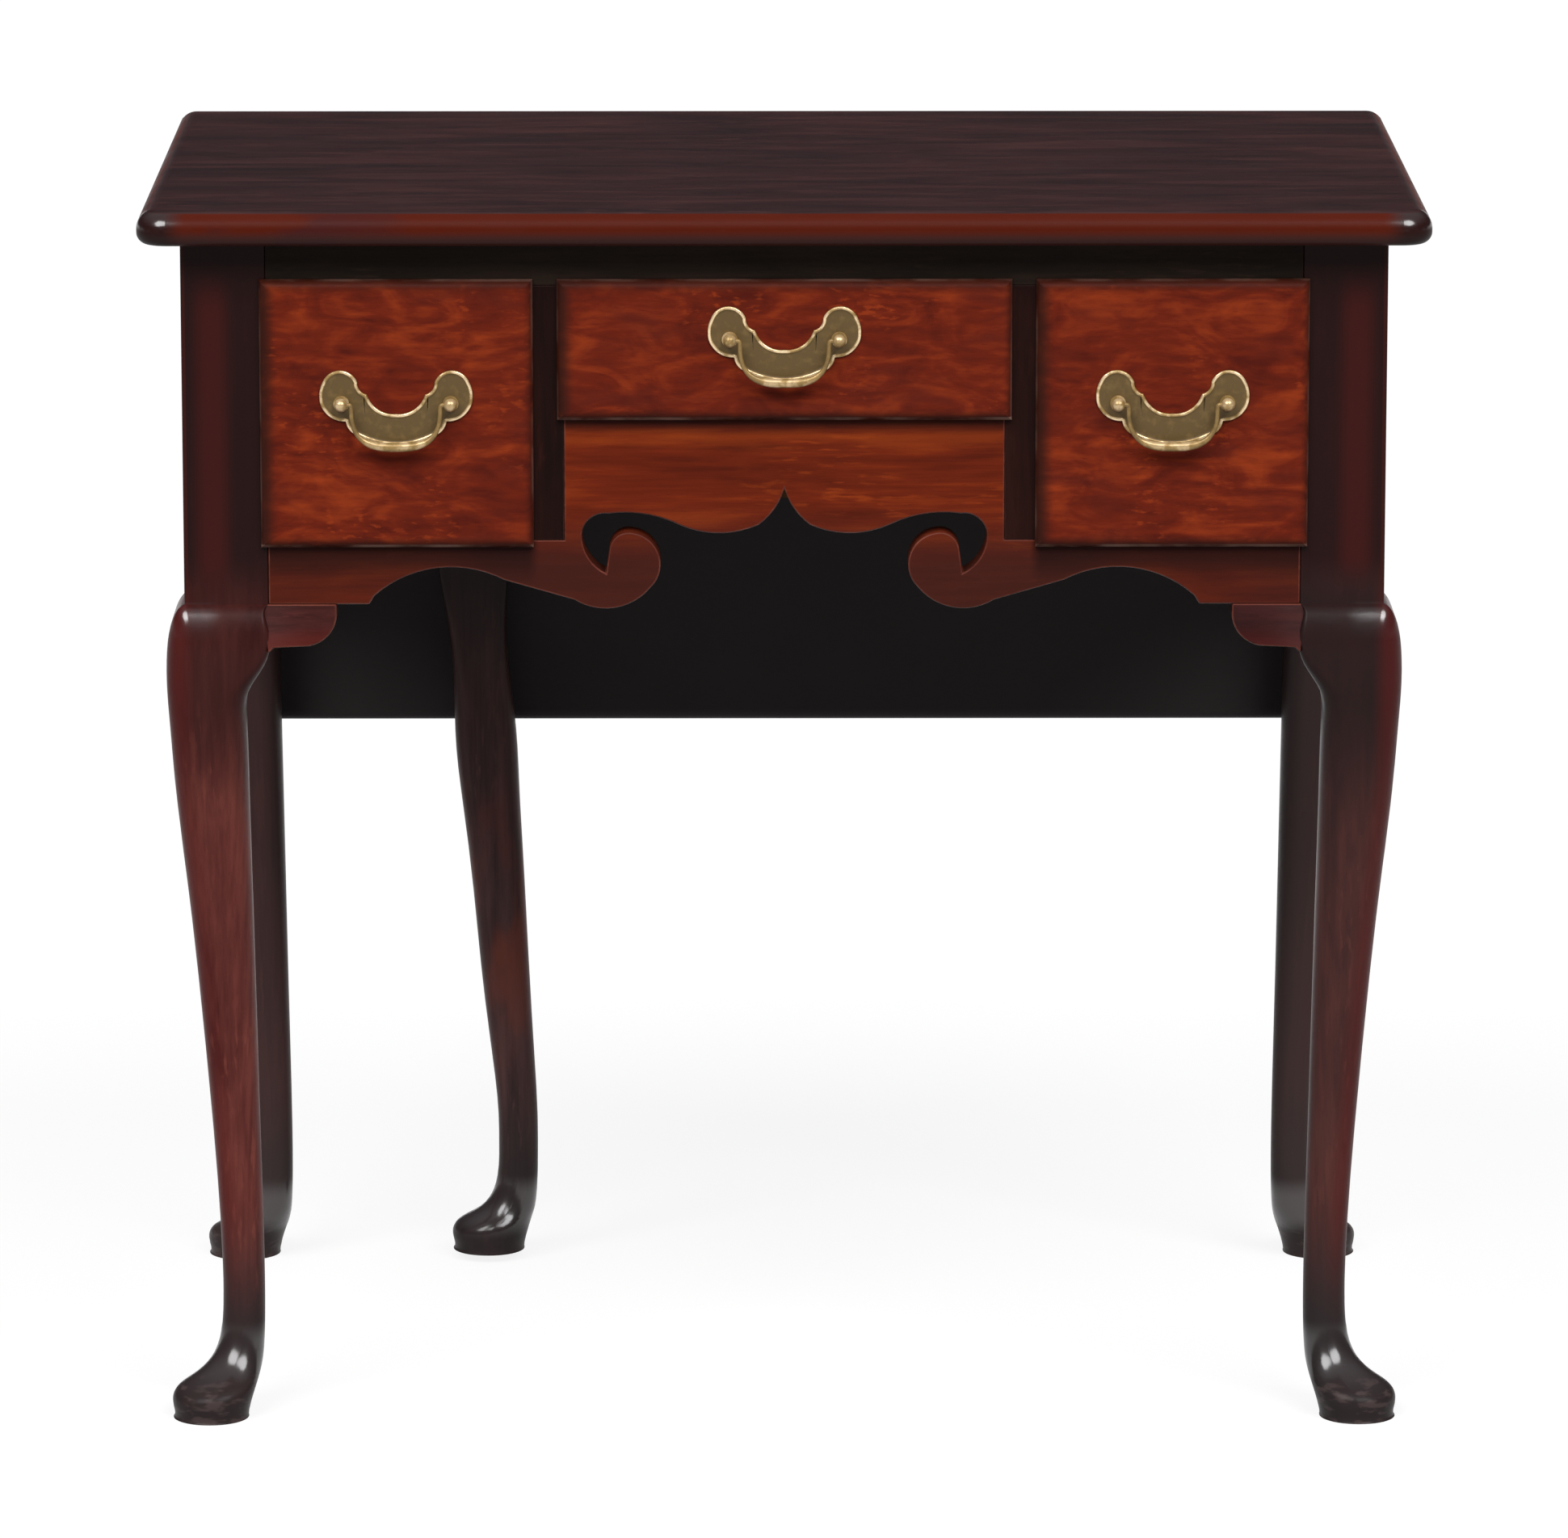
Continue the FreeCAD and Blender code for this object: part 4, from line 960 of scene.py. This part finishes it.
def arc(start, through, end, count=60):
    """Points on the round through three points.
    Its middle m solves |m - start| = |m - through| = |m - end|."""
    a, b, c = (np.array(p) for p in (start, through, end))
    sides = 2 * np.stack((b - a, c - a))
    middle = np.linalg.solve(sides, np.array((b @ b - a @ a, c @ c - a @ a)))
    angles = np.unwrap([math.atan2(*(p - middle)[::-1]) for p in (a, b, c)])
    turn = np.linspace(angles[0], angles[2], count)
    return middle + np.linalg.norm(a - middle) * np.stack((np.cos(turn), np.sin(turn)), axis=-1)


def even_steps(pieces, count):
    """A chain of arcs as points at even steps of its length."""
    chain = np.concatenate([arc(*piece) for piece in pieces])
    run = np.concatenate(([0.0], np.cumsum(np.linalg.norm(np.diff(chain, axis=0), axis=1))))
    steps = np.linspace(0.0, run[-1], count)
    return np.stack([np.interp(steps, run, chain[:, axis]) for axis in (0, 1)], axis=-1)


def both_sides(half):
    """A half edge and its mirror image, from the left tip to the right tip."""
    return np.concatenate((half[:0:-1] * (-1, 1), half))


upper = both_sides(even_steps(upper_edge, rib_count))
lower = both_sides(even_steps(lower_edge, rib_count))
print("points along each edge:", len(upper))

# %% [markdown]
# ## Handle plates
#
# Ribs join equal shares of the two edges. Across each rib the plate rises from the drawer, rounds over a
# raised rim, falls to a sunk field and rises again to the other rim. The rim follows a section of a few
# points, set inwards from the edge along its normal.

# %% Handle plates
rim_width = 2.2
plate_thickness = 1.6
field_height = 1.0
field_columns = 14
# Share of the rim's width inwards, share of the plate's thickness and how rubbed it is
rim_section = [(0.0, 0.0, 0.0), (0.0, 0.5, 0.5), (0.08, 0.78, 0.9), (0.28, 0.95, 1.0), (0.5, 1.0, 1.0),
               (0.72, 0.94, 0.9), (0.9, 0.74, 0.4), (1.0, field_height / plate_thickness, 0.0)]


def inwards(edge, sign):
    """Unit normals of an edge that runs to the right: sign 1 turns them up."""
    ahead = np.gradient(edge, axis=0)
    ahead /= np.linalg.norm(ahead, axis=1, keepdims=True)
    return sign * np.stack((-ahead[:, 1], ahead[:, 0]), axis=-1)


def handle_place(hand):
    """The point on a drawer's face midway between the posts of its handle."""
    low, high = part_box(f"drawer_{hand}_handle_posts")
    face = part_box(f"drawer_{hand}_handle_plate")[1][1]
    return np.array(((low[0] + high[0]) / 2, face, (low[2] + high[2]) / 2))


depths, heights, rubs = (np.array(column) for column in zip(*rim_section))
rising = lower[:, None] + inwards(lower, 1)[:, None] * (depths * rim_width)[None, :, None]
falling = (upper[:, None] + inwards(upper, -1)[:, None] * (depths * rim_width)[None, :, None])[:, ::-1]
shares = np.linspace(0.0, 1.0, field_columns + 2)[1:-1]
field = rising[:, -1:] + (falling[:, :1] - rising[:, -1:]) * shares[None, :, None]
across = np.concatenate((rising, field, falling), axis=1)
flat = np.full(field_columns, field_height / plate_thickness)
levels = np.concatenate((heights, flat, heights[::-1])) * plate_thickness
plate_rubbed = np.tile(np.concatenate((rubs, np.zeros(field_columns), rubs[::-1])), (len(upper), 1))
outwards = np.broadcast_to(-levels, across.shape[:2])
plate_points = np.stack((across[..., 0], outwards, across[..., 1]), axis=-1) * mm

for hand in hands:
    node = f"drawer_{hand}_handle_plate"
    show(surface(node + "_cast", plate_points + handle_place(hand), plate_rubbed, brass_finish), node)
    wear(brass_finish, node)
print("plate grid:", plate_points.shape[:2])

# %% [markdown]
# ## Bails
#
# A bail is a bent rod: a pin in each post, a tight bend, and a squarish loop that hangs from post to
# post and swells where it is gripped. The loop follows a superellipse, x = a cos^p t and z = -b sin^p t.
# Rings of points set across the path make the rod, and the last ring at each end shrinks to close it.

# %% Bails
head_stand = 7.5
pin_end = 34.7
bail_reach = 26.2
bail_drop = 25.0
loop_power = 2 / 3
arm_radius = 1.3
pin_radius = 1.45
grip_radius = 2.8
bend_radius = 1.6
ring_count = 20
arm_rubbed = 0.35
grip_rubbed = 0.75
loop_start = 0.12
loop_steps = 121
bend_steps = 9
pin_steps = 7
swell_power = 4

turn = np.linspace(loop_start, math.pi - loop_start, loop_steps)
loop = np.stack((bail_reach * np.sign(np.cos(turn)) * np.abs(np.cos(turn)) ** loop_power,
                 -bail_drop * np.sin(turn) ** loop_power), axis=-1)
swell = np.sin(turn) ** swell_power
bend_turn = np.linspace(0.0, math.pi / 2, bend_steps)
bend = np.stack((bail_reach + bend_radius * (1 - np.sin(bend_turn)),
                 -bend_radius * (1 - np.cos(bend_turn))), axis=-1)
pin_run = np.linspace(pin_end, bail_reach + bend_radius, pin_steps, endpoint=False)
pin = np.stack((pin_run, np.zeros(pin_steps)), axis=-1)
start = np.concatenate((pin[:1], pin, bend))
path = np.concatenate((start, loop, start[::-1] * (-1, 1)))
start_radius = np.concatenate(([0.0], np.full(len(pin), pin_radius),
                               np.linspace(pin_radius, arm_radius, len(bend))))
radius = np.concatenate((start_radius, arm_radius + (grip_radius - arm_radius) * swell, start_radius[::-1]))
ahead = np.gradient(path, axis=0)
ahead /= np.linalg.norm(ahead, axis=1, keepdims=True)
outward = np.stack((-ahead[:, 1], np.zeros(len(path)), ahead[:, 0]), axis=-1)
round_turn = np.linspace(0.0, 2 * math.pi, ring_count, endpoint=False)
center = np.stack((path[:, 0], np.full(len(path), -head_stand), path[:, 1]), axis=-1)
backward = np.array((0, 1, 0))
ring = (outward[:, None] * np.cos(round_turn)[None, :, None]
        + backward * np.sin(round_turn)[None, :, None])
bail_points = (center[:, None] + ring * radius[:, None, None]) * mm
end_value = np.full(len(start), arm_rubbed)
along_rod = np.concatenate((end_value, arm_rubbed + (grip_rubbed - arm_rubbed) * swell, end_value))
bail_rubbed = np.repeat(along_rod[:, None], ring_count, axis=1)

for hand in hands:
    node = "bail_" + hand
    show(surface(node + "_cast", bail_points + handle_place(hand), bail_rubbed, brass_finish), node)
    wear(brass_finish, node)
print("bail grid:", bail_points.shape[:2])

# %% [markdown]
# ## Iron
#
# Hinges, their screws, the nuts inside the drawers and the pin of the swing leg are taken as iron: dark, with
# spots of rust. The photograph shows none of them. Rust could be modelled as pits, but on such small pieces a
# change of color, roughness and metal is enough.

# %% Iron
iron_tone = color_of(56, 52, 50)
rust_tone = color_of(92, 54, 34)
rust_size = (0.004, 0.004, 0.004)

iron, shader, point = new_finish("iron")
rust = smooth(noise(point, rust_size, 73.0), 0.45, 0.70)
feed(shader, Base_Color=paint(0.7 * rust, iron_tone, rust_tone), Roughness=0.45 + 0.3 * rust,
     Metallic=0.9 - 0.6 * rust)
wear(iron, *[name for name in nodes if slot_of[name] == "iron_hardware"])
print("iron finished")
